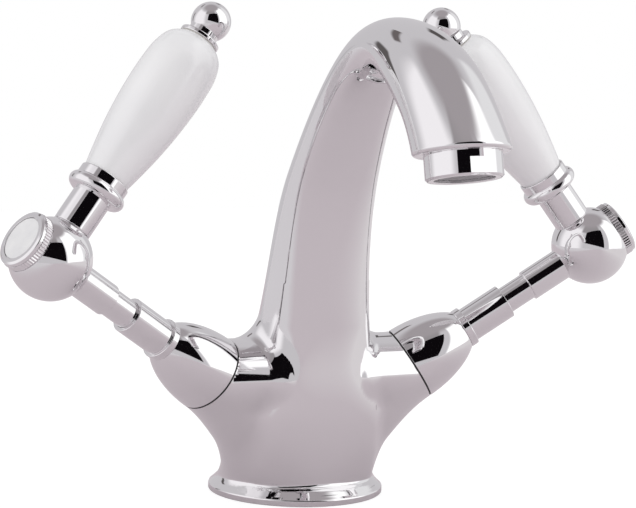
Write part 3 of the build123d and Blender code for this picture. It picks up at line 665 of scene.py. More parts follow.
def casting_shell(top_place):
    """Lower casting as points, faces and the boundary loops at the base, seams and top."""
    low = np.array([-48.0, -36.0, 2.6])
    high = np.array([48.0, 31.0, 82.0])
    axes = [np.arange(low[axis], high[axis], GRID) for axis in range(3)]
    flat = np.stack(np.meshgrid(*axes, indexing="ij"), -1).reshape(-1, 3)
    values = np.concatenate([casting_distance(part) for part in np.array_split(flat, 24)])
    points, quads = surface_net(values.reshape([len(axis) for axis in axes]), low, GRID)
    points = relax(settle(points, 3), quads)
    work = bmesh.new()
    verts = [work.verts.new(tuple(p)) for p in points]
    for quad in quads:
        if len(set(quad)) == 4:
            work.faces.new([verts[i] for i in quad])
    places = {
        "base": Place((0, 0, FLANGE_SPLIT), (1, 0, 0), (0, 0, -1)),
        "hot": Place((0, 0, AXIS_HEIGHT) + stem_direction(-1) * SEAM_AT, (0, 0, 1), stem_direction(-1)),
        "cold": Place((0, 0, AXIS_HEIGHT) + stem_direction(1) * SEAM_AT, (0, 0, 1), stem_direction(1)),
        "top": top_place,
    }
    for name, place in places.items():
        cut(work, place, 30.0 if name in ("hot", "cold") else 1000.0)
    work.verts.index_update()
    work.faces.index_update()
    points = np.array([v.co for v in work.verts], float)
    faces = [[v.index for v in face.verts] for face in work.faces]
    loops = {}
    rim = [v.index for v in work.verts if any(len(e.link_faces) == 1 for e in v.link_edges)]
    for name, place in places.items():
        local = place.local(points[rim])
        on_plane = [index for index, row in zip(rim, local) if abs(row[2]) < 1e-3]
        turns = place.local(points[on_plane])
        order = np.argsort(np.arctan2(turns[:, 1], turns[:, 0]))
        loops[name] = [on_plane[i] for i in order]
    work.free()
    return points, faces, loops, places


def zip_rings(first, second, first_angles, second_angles):
    """Three-sided faces between two rings of point numbers that run the same way round."""
    faces = []
    i = j = 0
    m, n = len(first), len(second)
    while i < m or j < n:
        next_first = first_angles[i + 1] if i + 1 < m else first_angles[0] + 2 * pi
        next_second = second_angles[j + 1] if j + 1 < n else second_angles[0] + 2 * pi
        if j >= n or (i < m and next_first <= next_second):
            faces.append((first[i % m], first[(i + 1) % m], second[j % n]))
            i += 1
        else:
            faces.append((first[i % m], second[(j + 1) % n], second[j % n]))
            j += 1
    return faces


# Body: spout

TOP_PLACE_AT = 74.0


def spout_points(places, angles):
    """Points of the spout at places along the middle line and angles round each section."""
    middle, across, half_width, half_depth, squareness = section(places)
    c, s = np.cos(angles), np.sin(angles)
    power = front_power(squareness, s)
    reach = (np.abs(c / half_width) ** power + np.abs(s / half_depth) ** power) ** (-1 / power)
    spots = np.zeros((*places.shape, 3))
    spots[..., 0] = reach * c
    spots[..., 1:] = middle + across * (reach * s)[..., None]
    return spots


def spout_normals(places, angles, nudge=1e-3):
    along = spout_points(places + nudge, angles) - spout_points(places - nudge, angles)
    around = spout_points(places, angles + nudge) - spout_points(places, angles - nudge)
    normal = np.cross(around, along)
    return normal / np.linalg.norm(normal, axis=-1, keepdims=True)


def grid_faces(rows, turns, first=0):
    faces = []
    for row in range(rows - 1):
        for step in range(turns):
            here, there = first + row * turns, first + (row + 1) * turns
            following = (step + 1) % turns
            faces.append((here + step, here + following, there + following, there + step))
    return faces


def spout(skin):
    """Rings of the spout from above the horns to the rounded rim, and the flat of the rim."""
    angles = np.arange(RING_POINTS) * 2 * pi / RING_POINTS
    outward = outlet_place().z
    per_depth = (KNOTS[-1] - KNOTS[-2]) / LIP_HEIGHT
    end = np.full(RING_POINTS, KNOTS[-1] - RIM_ROUNDING * per_depth)
    for _ in range(3):
        lean = spout_normals(end, angles) @ outward
        end = KNOTS[-1] - RIM_ROUNDING * (1 - lean) * per_depth
    start = TOP_PLACE_AT + GRID / 2
    rows = int((KNOTS[-1] - start) / RING_SPACING)
    shares = np.linspace(0, 1, rows + 1)[:, None]
    places = mix(start, end[None, :], shares)
    turned = np.broadcast_to(angles, places.shape)
    points = spout_points(places, turned)
    normals = spout_normals(places, turned)
    last, lip_normal = points[-1], normals[-1]
    centres = last - RIM_ROUNDING * lip_normal
    between = np.arccos(np.clip(lip_normal @ outward, -1, 1))[:, None]
    arc_points, arc_normals = [], []
    for share in np.linspace(0, 1, 7)[1:]:
        turned_to = (np.sin((1 - share) * between) * lip_normal + np.sin(share * between) * outward)
        turned_to /= np.sin(between)
        arc_points.append(centres + RIM_ROUNDING * turned_to)
        arc_normals.append(turned_to)
    points = np.concatenate([points, np.stack(arc_points)])
    normals = np.concatenate([normals, np.stack(arc_normals)])
    faces = grid_faces(len(points), RING_POINTS)
    skin.add_smooth(points.reshape(-1, 3), faces, normals.reshape(-1, 3))
    mouth = SOCKET_RADIUS + 0.3
    circle = np.stack([mouth * np.cos(angles), mouth * np.sin(angles), np.zeros(RING_POINTS)], 1)
    sense = np.sign((points[-1, RING_POINTS // 4] - outlet_place().origin) @ outlet_place().y)
    circle[:, 1] *= sense
    flat = np.concatenate([points[-1], outlet_place().points(circle)])
    skin.add_smooth(flat, grid_faces(2, RING_POINTS), np.tile(outward, (len(flat), 1)))
    return points[0], normals[0]


def facing(faces, points, normals):
    """Turns each face so that it looks the way its corners' normals do."""
    turned = []
    for face in faces:
        a, b, c = (points[i] for i in face[:3])
        outward = np.cross(b - a, c - a) @ normals[face[0]]
        turned.append(face if outward >= 0 else tuple(reversed(face)))
    return turned


def polished_body():
    skin = Skin()
    middle, across, _, _, _ = section(np.array([TOP_PLACE_AT]))
    top_place = Place((0, *middle[0]), (1, 0, 0), (0, -across[0][1], across[0][0]))
    points, faces, loops, places = casting_shell(top_place)
    normals = slope_of(points)
    normals /= np.linalg.norm(normals, axis=1)[:, None]
    skin.add_smooth(points, facing(faces, points, normals), normals)
    ring, ring_normals = spout(skin)

    def strip(name, ring_points, ring_normals_, flat=None):
        """Joins the boundary loop of that name to a ring of points."""
        place = places[name]
        loop = loops[name]
        both = np.concatenate([points[loop], ring_points])
        local = place.local(both)
        turn = np.arctan2(local[:, 1], local[:, 0])
        count = len(loop)
        first = list(range(count))
        order = np.argsort(turn[count:])
        second = [count + int(i) for i in order]
        strip_faces = zip_rings(first, second, list(turn[:count]), list(turn[count:][order]))
        if flat is None:
            strip_normals = np.concatenate([normals[loop], ring_normals_])
        else:
            strip_normals = np.tile(flat, (len(both), 1))
        skin.add_smooth(both, facing(strip_faces, both, strip_normals), strip_normals)

    strip("top", ring, ring_normals)
    turn = np.arange(TURNS) * 2 * pi / TURNS
    circle = np.stack([np.cos(turn), np.sin(turn), np.zeros(TURNS)], 1)
    for name in ("hot", "cold"):
        place = places[name]
        strip(name, place.points(circle * BORE_RADIUS), None, place.z)
        bore = outline([(BORE_RADIUS, 0), (BORE_RADIUS, SEAT_AT - SEAM_AT), (0, SEAT_AT - SEAM_AT)], False)
        lathe(skin, bore, place)
    (lean, rise), (foot, height) = flange_slope()
    split = foot - (FLANGE_SPLIT - 0.5 - height) * rise / lean
    slope_normals = circle * lean + [0, 0, rise]
    strip("base", circle * split + [0, 0, FLANGE_SPLIT - 0.5], slope_normals)
    lathe(skin, flange_outline(split, FLANGE_SPLIT - 0.5), BASE)
    lathe(skin, socket_outline(), outlet_place())
    skin.make("polished_body", "tap_body", "chrome", "body_casting")


def flange_outline(end_radius, end_height):
    """From the recess under the base, out and up the rim, to a place on the sloping top."""
    seal_outer = SEAL_RADIUS + SEAL_WIDTH
    return outline([
        (0, RECESS_DEPTH), (RECESS_RADIUS, RECESS_DEPTH), (RECESS_RADIUS, 0, 0.2),
        (SEAL_RADIUS, 0), (SEAL_RADIUS, SEAL_THICKNESS), (seal_outer, SEAL_THICKNESS),
        (seal_outer, 0), (FLANGE_RADIUS, 0, 0.35), (FLANGE_RADIUS, FLANGE_RIM + 0.4, 0.8),
        (end_radius, end_height),
    ], False)


def socket_outline():
    """Socket of the outlet fitting, from the rim inward; heights run outward from the rim."""
    return outline([
        (SOCKET_RADIUS + 0.3, 0), (SOCKET_RADIUS, -0.3), (SOCKET_RADIUS, -SOCKET_DEPTH),
        (CHANNEL_MOUTH, -SOCKET_DEPTH), (CHANNEL_MOUTH - 4, -SOCKET_DEPTH - 6),
        (0, -SOCKET_DEPTH - 6),
    ], False)


# Materials

class Graph:
    """Nodes and links of a material or a world."""

    def __init__(self, owner, empty=True):
        owner.use_nodes = True
        self.nodes, self.links = owner.node_tree.nodes, owner.node_tree.links
        if empty:
            self.nodes.clear()

    def new(self, kind, **values):
        """A node whose named inputs have these values or links; the name's underscores are spaces."""
        node = self.nodes.new("ShaderNode" + kind)
        for name, value in values.items():
            self.set(node.inputs[name.replace("_", " ")], value)
        return node

    def set(self, socket, value):
        if isinstance(value, bpy.types.NodeSocket):
            self.links.new(value, socket)
        else:
            socket.default_value = value

    def math(self, operation, *values):
        step = self.nodes.new("ShaderNodeMath")
        step.operation = operation
        for socket, value in zip(step.inputs, values):
            self.set(socket, value)
        return step.outputs[0]

    def blend(self, factor, first, second):
        """Blends two colours by a value."""
        node = self.nodes.new("ShaderNodeMix")
        node.data_type = "RGBA"
        for name, value in (("Factor", factor), ("A", first), ("B", second)):
            self.set(node.inputs[name], value)
        return node.outputs["Result"]

    def spread(self, value, low, high):
        """Maps a noise value to a range."""
        ranged = self.new("MapRange", Value=value, From_Min=0.3, From_Max=0.7, To_Min=low, To_Max=high)
        return ranged.outputs["Result"]

    def noise(self, scale, detail, stretch=(1, 1, 1)):
        """Noise over the piece's own coordinates."""
        place = self.new("TexCoord").outputs["Object"]
        mapped = self.new("Mapping", Scale=stretch, Vector=place).outputs["Vector"]
        return self.new("TexNoise", Scale=scale, Detail=detail, Vector=mapped).outputs["Fac"]

    def window(self, value, start, end, softness):
        """1 where a value lies between start and end, falling to 0 over the softness outside."""
        shares = []
        for edge, way in ((start, 1), (end, -1)):
            ramp = self.new("MapRange", Value=value, From_Min=edge - way * softness, From_Max=edge)
            ramp.interpolation_type = "SMOOTHSTEP"
            shares.append(ramp.outputs["Result"])
        return self.math("MULTIPLY", *shares)

    def choose(self, factor, first, second, output):
        """Ends the tree with the second shader where the factor is 1 and the first elsewhere."""
        choice = self.nodes.new("ShaderNodeMixShader")
        for socket, value in zip(choice.inputs, (factor, first, second)):
            self.set(socket, value)
        self.new(output, Surface=choice.outputs["Shader"])


class Finish(Graph):
    """A Principled material."""

    def __init__(self, name, color, metallic, roughness, coat_roughness=None):
        self.material = bpy.data.materials.new(name)
        super().__init__(self.material, False)
        self.shader = self.nodes["Principled BSDF"]
        values = {"Base Color": (*color, 1), "Metallic": metallic, "Roughness": roughness}
        if coat_roughness is not None:
            values.update({"Coat Weight": 1.0, "Coat Roughness": coat_roughness})
        for socket, value in values.items():
            self.shader.inputs[socket].default_value = value

    def mottle(self, value, dark, light):
        """Base colour that moves between two colours with a noise value."""
        color = self.blend(self.spread(value, 0, 1), (*dark, 1), (*light, 1))
        self.set(self.shader.inputs["Base Color"], color)

    def bump(self, value, strength, distance):
        node = self.new("Bump", Strength=strength, Distance=distance, Height=value)
        self.set(self.shader.inputs["Normal"], node.outputs["Normal"])


def chrome():
    """Polished plating: mirror bright, with faint haze where it was buffed."""
    finish = Finish("chrome", (0.84, 0.83, 0.84), 1.0, 0.3)
    finish.set(finish.shader.inputs["Roughness"], finish.spread(finish.noise(90, 3), 0.015, 0.05))
    return finish.material


def glazed(name, dark, light, roughness, coat_roughness, scale):
    """Faintly clouded white under a clear glaze."""
    finish = Finish(name, light, 0.0, roughness, coat_roughness)
    finish.mottle(finish.noise(scale, 2), dark, light)
    return finish.material


def plain_ceramic():
    finish = Finish("disc_ceramic", (0.86, 0.83, 0.76), 0.0, 0.18)
    finish.mottle(finish.noise(1500, 2), (0.82, 0.79, 0.72), (0.9, 0.87, 0.8))
    return finish.material


def machined(name, dark, light, roughness):
    """Machined metal with fine turning marks."""
    finish = Finish(name, light, 1.0, roughness)
    marks = finish.noise(900, 2, (1, 1, 12))
    finish.mottle(marks, dark, light)
    finish.set(finish.shader.inputs["Roughness"], finish.spread(marks, roughness * 0.8, roughness * 1.3))
    finish.bump(marks, 0.2, 0.00002)
    return finish.material


def soft(name, dark, light, roughness, scale=700):
    """Rubber, fibre or plastic with a fine mottled surface."""
    finish = Finish(name, light, 0.0, roughness)
    grain = finish.noise(scale, 4)
    finish.mottle(grain, dark, light)
    finish.bump(grain, 0.3, 0.00003)
    return finish.material


MATERIALS = {
    "chrome": chrome(),
    "porcelain": glazed("porcelain", (0.885, 0.885, 0.895), (0.92, 0.92, 0.925), 0.28, 0.03, 45),
    "enamel": glazed("enamel", (0.84, 0.84, 0.85), (0.9, 0.9, 0.9), 0.2, 0.04, 200),
    "disc_ceramic": plain_ceramic(),
    "bare_brass": machined("bare_brass", (0.56, 0.4, 0.17), (0.72, 0.54, 0.26), 0.28),
    "stainless_steel": machined("stainless_steel", (0.42, 0.42, 0.43), (0.58, 0.58, 0.58), 0.3),
    "rubber": soft("rubber", (0.018, 0.018, 0.018), (0.035, 0.035, 0.035), 0.6),
    "fibre_washer": soft("fibre_washer", (0.52, 0.50, 0.47), (0.62, 0.60, 0.57), 0.7, 1600),
    "white_plastic": soft("white_plastic", (0.72, 0.72, 0.7), (0.8, 0.8, 0.78), 0.4),
}


# Turned pieces on the stems

def dome_curve(radius, length, top_radius, base=0.0):
    """Radius and height of an ellipsoidal dome, by height."""
    reach = length / (1 - (top_radius / radius) ** 2) ** 0.5
    return lambda height: (radius * (1 - (height / reach) ** 2) ** 0.5, base + height)


def valve_shroud(name, side):
    wall_radius = BOSS_RADIUS - SHROUD_WALL
    outer = dome_curve(BOSS_RADIUS, SHROUD_LENGTH, SHROUD_TOP_RADIUS, SEAM_AT)
    inner = dome_curve(wall_radius, SHROUD_LENGTH - SHROUD_WALL, SHROUD_TOP_RADIUS - SHROUD_WALL / 2, SEAM_AT)
    bore = SLEEVE_RADIUS
    inner_end = inner(SHROUD_LENGTH - SHROUD_WALL)
    top = SEAM_AT + SHROUD_LENGTH
    rim = SEAM_AT + SEAM_GAP
    foot = outline([(wall_radius, rim), (BOSS_RADIUS, rim, 0.12), outer(2 * SEAM_GAP)], False)
    crown = outline(
        [outer(SHROUD_LENGTH), (bore, top), (bore, inner_end[1]), inner_end], False
    )
    spans = [
        *foot,
        curve_span(outer, 2 * SEAM_GAP, SHROUD_LENGTH, 40),
        *crown,
        curve_span(inner, SHROUD_LENGTH - SHROUD_WALL, SEAM_GAP, 30),
    ]
    turned(f"{name}_shroud", "tap_body", "chrome", f"{name}_valve_shroud",
           spans, stem_place(side))


def seam_painted_shade_ring(name, side):
    """Dark ring of painted shade that draws the seam's line: it stands for the shadow in the gap between the
    casting and the shroud, in the rubber finish. It isn't the CAD gasket that it takes the place of: that one
    is a smaller fibre ring hidden inside the shroud."""
    radius = BOSS_RADIUS - SEAM_SUNK
    spans = outline([
        (SHADE_RING_BORE, SEAM_AT), (radius, SEAM_AT, 0.1), (radius, SEAM_AT + SEAM_GAP, 0.1),
        (SHADE_RING_BORE, SEAM_AT + SEAM_GAP),
    ])
    turned(f"{name}_seam_painted_shade_ring", "tap_body", "rubber", f"{name}_headwork_gasket",
           spans, stem_place(side))


def cover_sleeve(name, side):
    start = SEAM_AT + SHROUD_LENGTH
    step = start + SLEEVE_COLLAR_HEIGHT
    spans = outline([
        (SLEEVE_BORE, start), (SLEEVE_COLLAR_RADIUS, start, 0.35),
        (SLEEVE_COLLAR_RADIUS, step, 0.35), (SLEEVE_RADIUS, step, 0.12),
        (SLEEVE_RADIUS, SLEEVE_END, 0.25), (SLEEVE_BORE, SLEEVE_END, 0.15),
    ])
    turned(f"{name}_sleeve", "tap_body", "chrome", f"{name}_cover_sleeve",
           spans, stem_place(side))


def handle_hub(name, side):
    face_at = BALL_AT + BALL_FACE
    shank_top = BALL_AT - (BALL_RADIUS**2 - SHOULDER_RADIUS**2) ** 0.5
    low = atan2(shank_top - BALL_AT, SHOULDER_RADIUS)
    high = atan2(BALL_FACE, (BALL_RADIUS**2 - BALL_FACE**2) ** 0.5)
    shank = outline([
        (SCREW_BORE, SPLINE_END), (SPLINE_BORE, SPLINE_END), (SPLINE_BORE, SPIGOT_START),
        (SPIGOT_RADIUS, SPIGOT_START), (SPIGOT_RADIUS, SHOULDER_AT),
        (SHOULDER_RADIUS, SHOULDER_AT, 0.3), (SHOULDER_RADIUS, shank_top),
    ], False)
    ball = curve_span(
        lambda angle: (BALL_RADIUS * cos(angle), BALL_AT + BALL_RADIUS * sin(angle)), low, high, 72
    )
    inside = outline([
        ((BALL_RADIUS**2 - BALL_FACE**2) ** 0.5, face_at), (CAP_BORE, face_at),
        (CAP_BORE, face_at - CAP_BORE_DEPTH), (SCREW_HEAD_BORE, face_at - CAP_BORE_DEPTH),
        (SCREW_HEAD_BORE, SCREW_SEAT), (SCREW_BORE, SCREW_SEAT), (SCREW_BORE, SPLINE_END),
    ], False)
    turned(f"{name}_hub", f"{name}_handle", "chrome", f"{name}_handle_hub",
           [*shank, ball, *inside], stem_place(side), 192)


def knurl(skin, place, start, end):
    """Straight-toothed band with rounded teeth and flat ends."""
    per_tooth = 8
    count = KNURL_TEETH * per_tooth
    angles = np.arange(count) * 2 * pi / count
    wave = np.cos(KNURL_TEETH * angles)
    radius = CAP_RADIUS - KNURL_DEPTH * (0.5 - 0.5 * wave)
    slope = -KNURL_DEPTH * 0.5 * KNURL_TEETH * np.sin(KNURL_TEETH * angles)
    radial = np.stack([np.cos(angles), np.sin(angles), np.zeros(count)], 1)
    around = np.stack([-np.sin(angles), np.cos(angles), np.zeros(count)], 1)
    normal = radial * radius[:, None] - around * slope[:, None]
    normal /= np.linalg.norm(normal, axis=1)[:, None]
    root = radial * (CAP_RADIUS - KNURL_DEPTH - 0.2)
    up = np.array([0, 0, 1.0])
    low, high = radial * radius[:, None] + up * start, radial * radius[:, None] + up * end
    for points, normals in (
        ((low, high), (normal, normal)),
        ((root + up * start, low), (np.tile(-up, (count, 1)),) * 2),
        ((high, root + up * end), (np.tile(up, (count, 1)),) * 2),
    ):
        skin.add_smooth(
            place.points(np.concatenate(points)), grid_faces(2, count),
            place.directions(np.concatenate(normals)),
        )


def index_cap(name, side):
    skin = Skin()
    base = BALL_AT + BALL_FACE
    top = base + CAP_HEIGHT
    knurl_start = base + KNURL_START
    knurl_end = knurl_start + KNURL_HEIGHT
    root = CAP_RADIUS - KNURL_DEPTH
    recess = INDEX_RADIUS + 0.1
    floor = top - INDEX_THICKNESS - INDEX_SUNK
    spans = outline([
        (0, base - CAP_THREAD_LENGTH), (CAP_THREAD_RADIUS, base - CAP_THREAD_LENGTH),
        (CAP_THREAD_RADIUS, base), (root, base, 0.1), (root, knurl_end, 0.05),
        (CAP_RADIUS - 0.3, knurl_end, 0.1), (CAP_RADIUS - 0.3, top - 0.5, 0.4),
        (CAP_RADIUS - 1.2, top, 0.5), (recess, top, 0.12), (recess, floor), (0, floor),
    ], False)
    place = stem_place(side)
    lathe(skin, spans, place)
    knurl(skin, place, knurl_start, knurl_end)
    skin.make(f"{name}_cap", f"{name}_handle", "chrome", f"{name}_index_cap")


def index_disc(name, side):
    top = BALL_AT + BALL_FACE + CAP_HEIGHT - INDEX_SUNK
    spans = outline([(0, top - INDEX_THICKNESS), (INDEX_RADIUS, top - INDEX_THICKNESS),
                     (INDEX_RADIUS, top, 0.15), (0, top)], False)
    turned(f"{name}_enamel", f"{name}_handle", "enamel", f"{name}_index_disc",
           spans, stem_place(side))


# Turned pieces on the levers

def lever_stem(name, side):
    spans = outline([
        (0, STEM_THREAD_START), (STEM_THREAD_RADIUS, STEM_THREAD_START),
        (STEM_THREAD_RADIUS, LEVER_SPOT), (STEM_PIECE_RADIUS, LEVER_SPOT, 0.35),
        (STEM_PIECE_RADIUS, STEM_PIECE_END), (ROD_RADIUS + 0.05, STEM_PIECE_END),
        (ROD_RADIUS + 0.05, ROD_HOLE_START), (0, ROD_HOLE_START),
    ], False)
    turned(f"{name}_stem", f"{name}_handle", "chrome", f"{name}_lever_stem",
           spans, lever_place(side))


def lever_ferrule(name, side):
    bead = BEAD_HEIGHT / 2
    inner = BEAD_RADIUS - bead
    middle = STEM_PIECE_END + bead
    floor = FERRULE_END - CUP_DEPTH
    bore = ROD_RADIUS + 0.15
    end_angle = acos((FERRULE_RADIUS - inner) / bead)
    round_part = curve_span(lambda angle: (inner + bead * cos(angle), middle + bead * sin(angle)),
                            -pi / 2, end_angle, 30)
    cup_start = middle + bead * sin(end_angle)
    cup = outline([
        (FERRULE_RADIUS, cup_start), (FERRULE_RADIUS, FERRULE_END, 0.35),
        (CUP_RADIUS, FERRULE_END, 0.1), (CUP_RADIUS, floor), (bore, floor), (bore, STEM_PIECE_END),
        (inner, STEM_PIECE_END),
    ], False)
    turned(f"{name}_ferrule", f"{name}_handle", "chrome", f"{name}_lever_ferrule",
           [round_part, *cup], lever_place(side))


def smooth_curve(points):
    """Curve through (radius, height) points as a function of a share from 0 to 1."""
    points = np.array(points, float)
    steps = np.linalg.norm(np.diff(points, axis=0), axis=1) ** 0.75
    knots = np.concatenate([[0], np.cumsum(steps)])
    return lambda share: [float(cubic(knots, column, share * knots[-1])) for column in points.T]


def porcelain_grip(name, side):
    start = FERRULE_END - CUP_DEPTH + WASHER_THICKNESS
    end = start + GRIP_LENGTH
    side_curve = smooth_curve([(radius, start + along) for radius, along in GRIP_PROFILE])
    ends = outline([
        (GRIP_TOP_RADIUS, end), (GRIP_BORE, end), (GRIP_BORE, start), (GRIP_FOOT_RADIUS, start),
    ], False)
    turned(f"{name}_grip", f"{name}_handle", "porcelain", f"{name}_porcelain_grip",
           [curve_span(side_curve, 0, 1, 90), *ends], lever_place(side))


def finial(name, side):
    start = FERRULE_END - CUP_DEPTH + WASHER_THICKNESS + GRIP_LENGTH + WASHER_THICKNESS
    cone_base = start + FINIAL_COLLAR_HEIGHT
    low = -acos(FINIAL_NECK_RADIUS / FINIAL_RADIUS)
    bore = ROD_RADIUS + 0.05
    collar = outline([
        (0, start + FINIAL_HOLE_DEPTH), (bore, start + FINIAL_HOLE_DEPTH), (bore, start),
        (FINIAL_COLLAR_RADIUS, start, 0.35), (FINIAL_COLLAR_RADIUS, cone_base, 0.45),
        (FINIAL_NECK_RADIUS, cone_base, 0.4),
        (FINIAL_NECK_RADIUS, FINIAL_AT + FINIAL_RADIUS * sin(low)),
    ], False)
    ball = curve_span(
        lambda angle: (FINIAL_RADIUS * cos(angle), FINIAL_AT + FINIAL_RADIUS * sin(angle)), low, pi / 2, 48
    )
    turned(f"{name}_ball_finial", f"{name}_handle", "chrome", f"{name}_finial",
           [*collar, ball], lever_place(side))


# Outlet fitting

def outlet_fitting():
    """Turned housing with two wrench flats."""
    skin = Skin()
    place = outlet_place()
    upper = outline([
        (HOUSING_BORE, HOUSING_TOP), (HOUSING_RADIUS, HOUSING_TOP),
        (HOUSING_RADIUS, HOUSING_FLAT_START),
    ], False)
    lathe(skin, upper, place)
    lip_top = HOUSING_DROP - HOUSING_LIP_HEIGHT
    lower = outline([
        (HOUSING_RADIUS - HOUSING_CHAMFER, HOUSING_DROP), (HOUSING_LIP, HOUSING_DROP, 0.25),
        (HOUSING_LIP, lip_top), (HOUSING_BORE, lip_top), (HOUSING_BORE, HOUSING_TOP),
    ], False)
    lathe(skin, lower, place)
    half = HOUSING_FLATS / 2
    edge_angle = np.arcsin(half / HOUSING_RADIUS)
    quarter = np.concatenate([np.linspace(0, edge_angle, 28)[:-1], np.linspace(edge_angle, pi / 2, 9)])
    there, back = quarter[:-1], quarter[::-1][:-1]
    angles = np.concatenate([there, pi - back, pi + there, 2 * pi - back])
    count = len(angles)
    full = np.stack([np.cos(angles), np.sin(angles), np.zeros(count)], 1) * HOUSING_RADIUS
    on_flat = np.abs(full[:, 1]) > half - 1e-6
    trimmed = full.copy()
    trimmed[:, 1] = np.clip(trimmed[:, 1], -half, half)
    up = np.array([0, 0, 1.0])
    radial = full / HOUSING_RADIUS
    flat_normal = np.stack([np.zeros(count), np.sign(full[:, 1]), np.zeros(count)], 1)
    ledge_start = place.points(np.concatenate([full, trimmed]) + up * HOUSING_FLAT_START)
    skin.add_smooth(ledge_start, grid_faces(2, count), place.directions(np.tile(up, (2 * count, 1))))
    shrink = 1 - HOUSING_CHAMFER / HOUSING_RADIUS
    chamfer = trimmed * shrink
    points = np.concatenate([
        trimmed + up * HOUSING_FLAT_START,
        trimmed + up * (HOUSING_DROP - HOUSING_CHAMFER),
        chamfer + up * HOUSING_DROP,
    ])
    for row in (0, 1):
        for step in range(count):
            following = (step + 1) % count
            corners = (row * count + step, row * count + following,
                       (row + 1) * count + following, (row + 1) * count + step)
            flat_here = on_flat[step] and on_flat[following]
            normals = []
            for corner in corners:
                wall = flat_normal[corner % count] if flat_here else radial[corner % count]
                normals.append(wall if row == 0 else unit(wall + up))
            skin.add(place.points(points[list(corners)]), [(0, 1, 2, 3)], place.directions(np.array(normals)))
    inner = radial * (HOUSING_RADIUS - HOUSING_CHAMFER)
    face = np.concatenate([chamfer + up * HOUSING_DROP, inner * 0.97 + up * HOUSING_DROP])
    skin.add_smooth(place.points(face), grid_faces(2, count), place.directions(np.tile(up, (2 * count, 1))))
    skin.make("outlet_housing", "tap_body", "chrome", "aerator_housing")


def outlet_mesh():
    """Woven wire screen: two sets of wires that pass over and under each other. CAD has a pierced disc."""
    skin = Skin()
    place = outlet_place()
    reach = HOUSING_BORE - 0.1
    level = HOUSING_DROP - HOUSING_LIP_HEIGHT - 0.3
    count = int(reach / MESH_PITCH)
    sides = 6
    turn = np.arange(sides) * 2 * pi / sides
    for set_number in (0, 1):
        for line in range(-count, count + 1):
            offset = line * MESH_PITCH
            half = (reach**2 - offset**2) ** 0.5
            if half < MESH_PITCH:
                continue
            along = np.arange(-half, half, MESH_PITCH / 3)
            sense = (1 if line % 2 else -1) * (1 if set_number else -1)
            wave = sense * WIRE_RADIUS * np.cos(pi * along / MESH_PITCH)
            rings = []
            normals = []
            for spot, lift in zip(along, wave):
                across, height = WIRE_RADIUS * np.cos(turn), WIRE_RADIUS * np.sin(turn)
                ring = np.stack([np.full(sides, spot), offset + across, level + lift + height], 1)
                normal = np.stack([np.zeros(sides), np.cos(turn), np.sin(turn)], 1)
                if set_number:
                    ring, normal = ring[:, [1, 0, 2]], normal[:, [1, 0, 2]]
                rings.append(ring)
                normals.append(normal)
            points, corner_normals = np.concatenate(rings), np.concatenate(normals)
            faces = facing(grid_faces(len(rings), sides), points, corner_normals)
            skin.add_smooth(place.points(points), faces, place.directions(corner_normals))
    skin.make("outlet_mesh", "tap_body", "stainless_steel", "aerator_screen")


# Pieces that nothing replaces keep their CAD shape and take their finish from the record

def finish_cad_nodes():
    slots = {part["node"]: part["material_slot"] for part in frame["record"]["subparts"]}
    for name, piece in frame["nodes"].items():
        piece.data.materials.clear()
        piece.data.materials.append(MATERIALS[slots[name]])


FLOOR_MAUVE = (0.655, 0.595, 0.625)
FLOOR_REACH = 0.95
# Floor colour in reflections, by the share of the floor's width from left to right
FLOOR_STOPS = [
    (0.30, (0.76, 0.74, 0.76)), (0.40, FLOOR_MAUVE),
    (0.56, FLOOR_MAUVE), (0.68, (0.82, 0.79, 0.80)),
]
DIFFUSE_WHITE = 0.85
OPENING_AT = -0.86
OPENING = [
    (-0.82, OPENING_AT, 0.36), (0.285, OPENING_AT, 0.07),
    (0.30, OPENING_AT, 1.08), (-0.72, OPENING_AT, 1.2),
]
OPENING_COLOR = (0.004, 0.003, 0.004)

# Studio walls: name, colour, span of the compass angle and of the rise in degrees, and how soft
# the edges of both spans are. Later ones lie over earlier ones.
WALLS = [
    ("back_wall", (0.63, 0.615, 0.635), None, None, 0, 0),
    ("left_wall", (1.02, 1.0, 1.02), (-118, -72), (-12, 46), 24, 12),
    ("over_opening", (0.34, 0.32, 0.33), (-58, 4), (46, 80), 10, 6),
    ("ceiling", (0.40, 0.37, 0.385), None, (70, 91), 0, 16),
    ("softbox", (1.3, 1.3, 1.3), (31, 84), (-1, 57), 5, 10),
    ("right_wall", (0.86, 0.86, 0.87), (86, 112), (-8, 44), 9, 12),
    ("left_post", (0.12, 0.11, 0.11), (-153, -148), (4, 20), 2, 5),
    ("left_rail", (0.16, 0.14, 0.14), (-200, -158), (44, 47), 4, 3),
    ("right_lamp", (0.1, 0.09, 0.09), (139, 145), (30, 37), 3, 3),
]


# Studio

def camera():
    azimuth, elevation = radians(CAMERA_AZIMUTH), radians(CAMERA_ELEVATION)
    back = np.array([sin(azimuth) * cos(elevation), -cos(azimuth) * cos(elevation), sin(elevation)])
    aim = np.array([CAMERA_AIM_SIDE * cos(azimuth), CAMERA_AIM_SIDE * sin(azimuth), CAMERA_AIM_HEIGHT])
    right = unit(np.cross(-back, (0, 0, 1)))
    up = np.cross(right, -back)
    roll = radians(CAMERA_ROLL)
    right, up = cos(roll) * right + sin(roll) * up, cos(roll) * up - sin(roll) * right
    data = bpy.data.cameras.new("camera")
    data.sensor_width = SENSOR
    data.lens = FOCAL_PIXELS * SENSOR / IMAGE_WIDTH
    data.clip_start, data.clip_end = 0.01, 50
    view = bpy.data.objects.new("camera", data)
    bpy.context.scene.collection.objects.link(view)
    spot = (aim + back * CAMERA_DISTANCE) * MM
    view.matrix_world = Matrix((
        (right[0], up[0], back[0], spot[0]),
        (right[1], up[1], back[1], spot[1]),
        (right[2], up[2], back[2], spot[2]),
        (0, 0, 0, 1),
    ))
    bpy.context.scene.camera = view


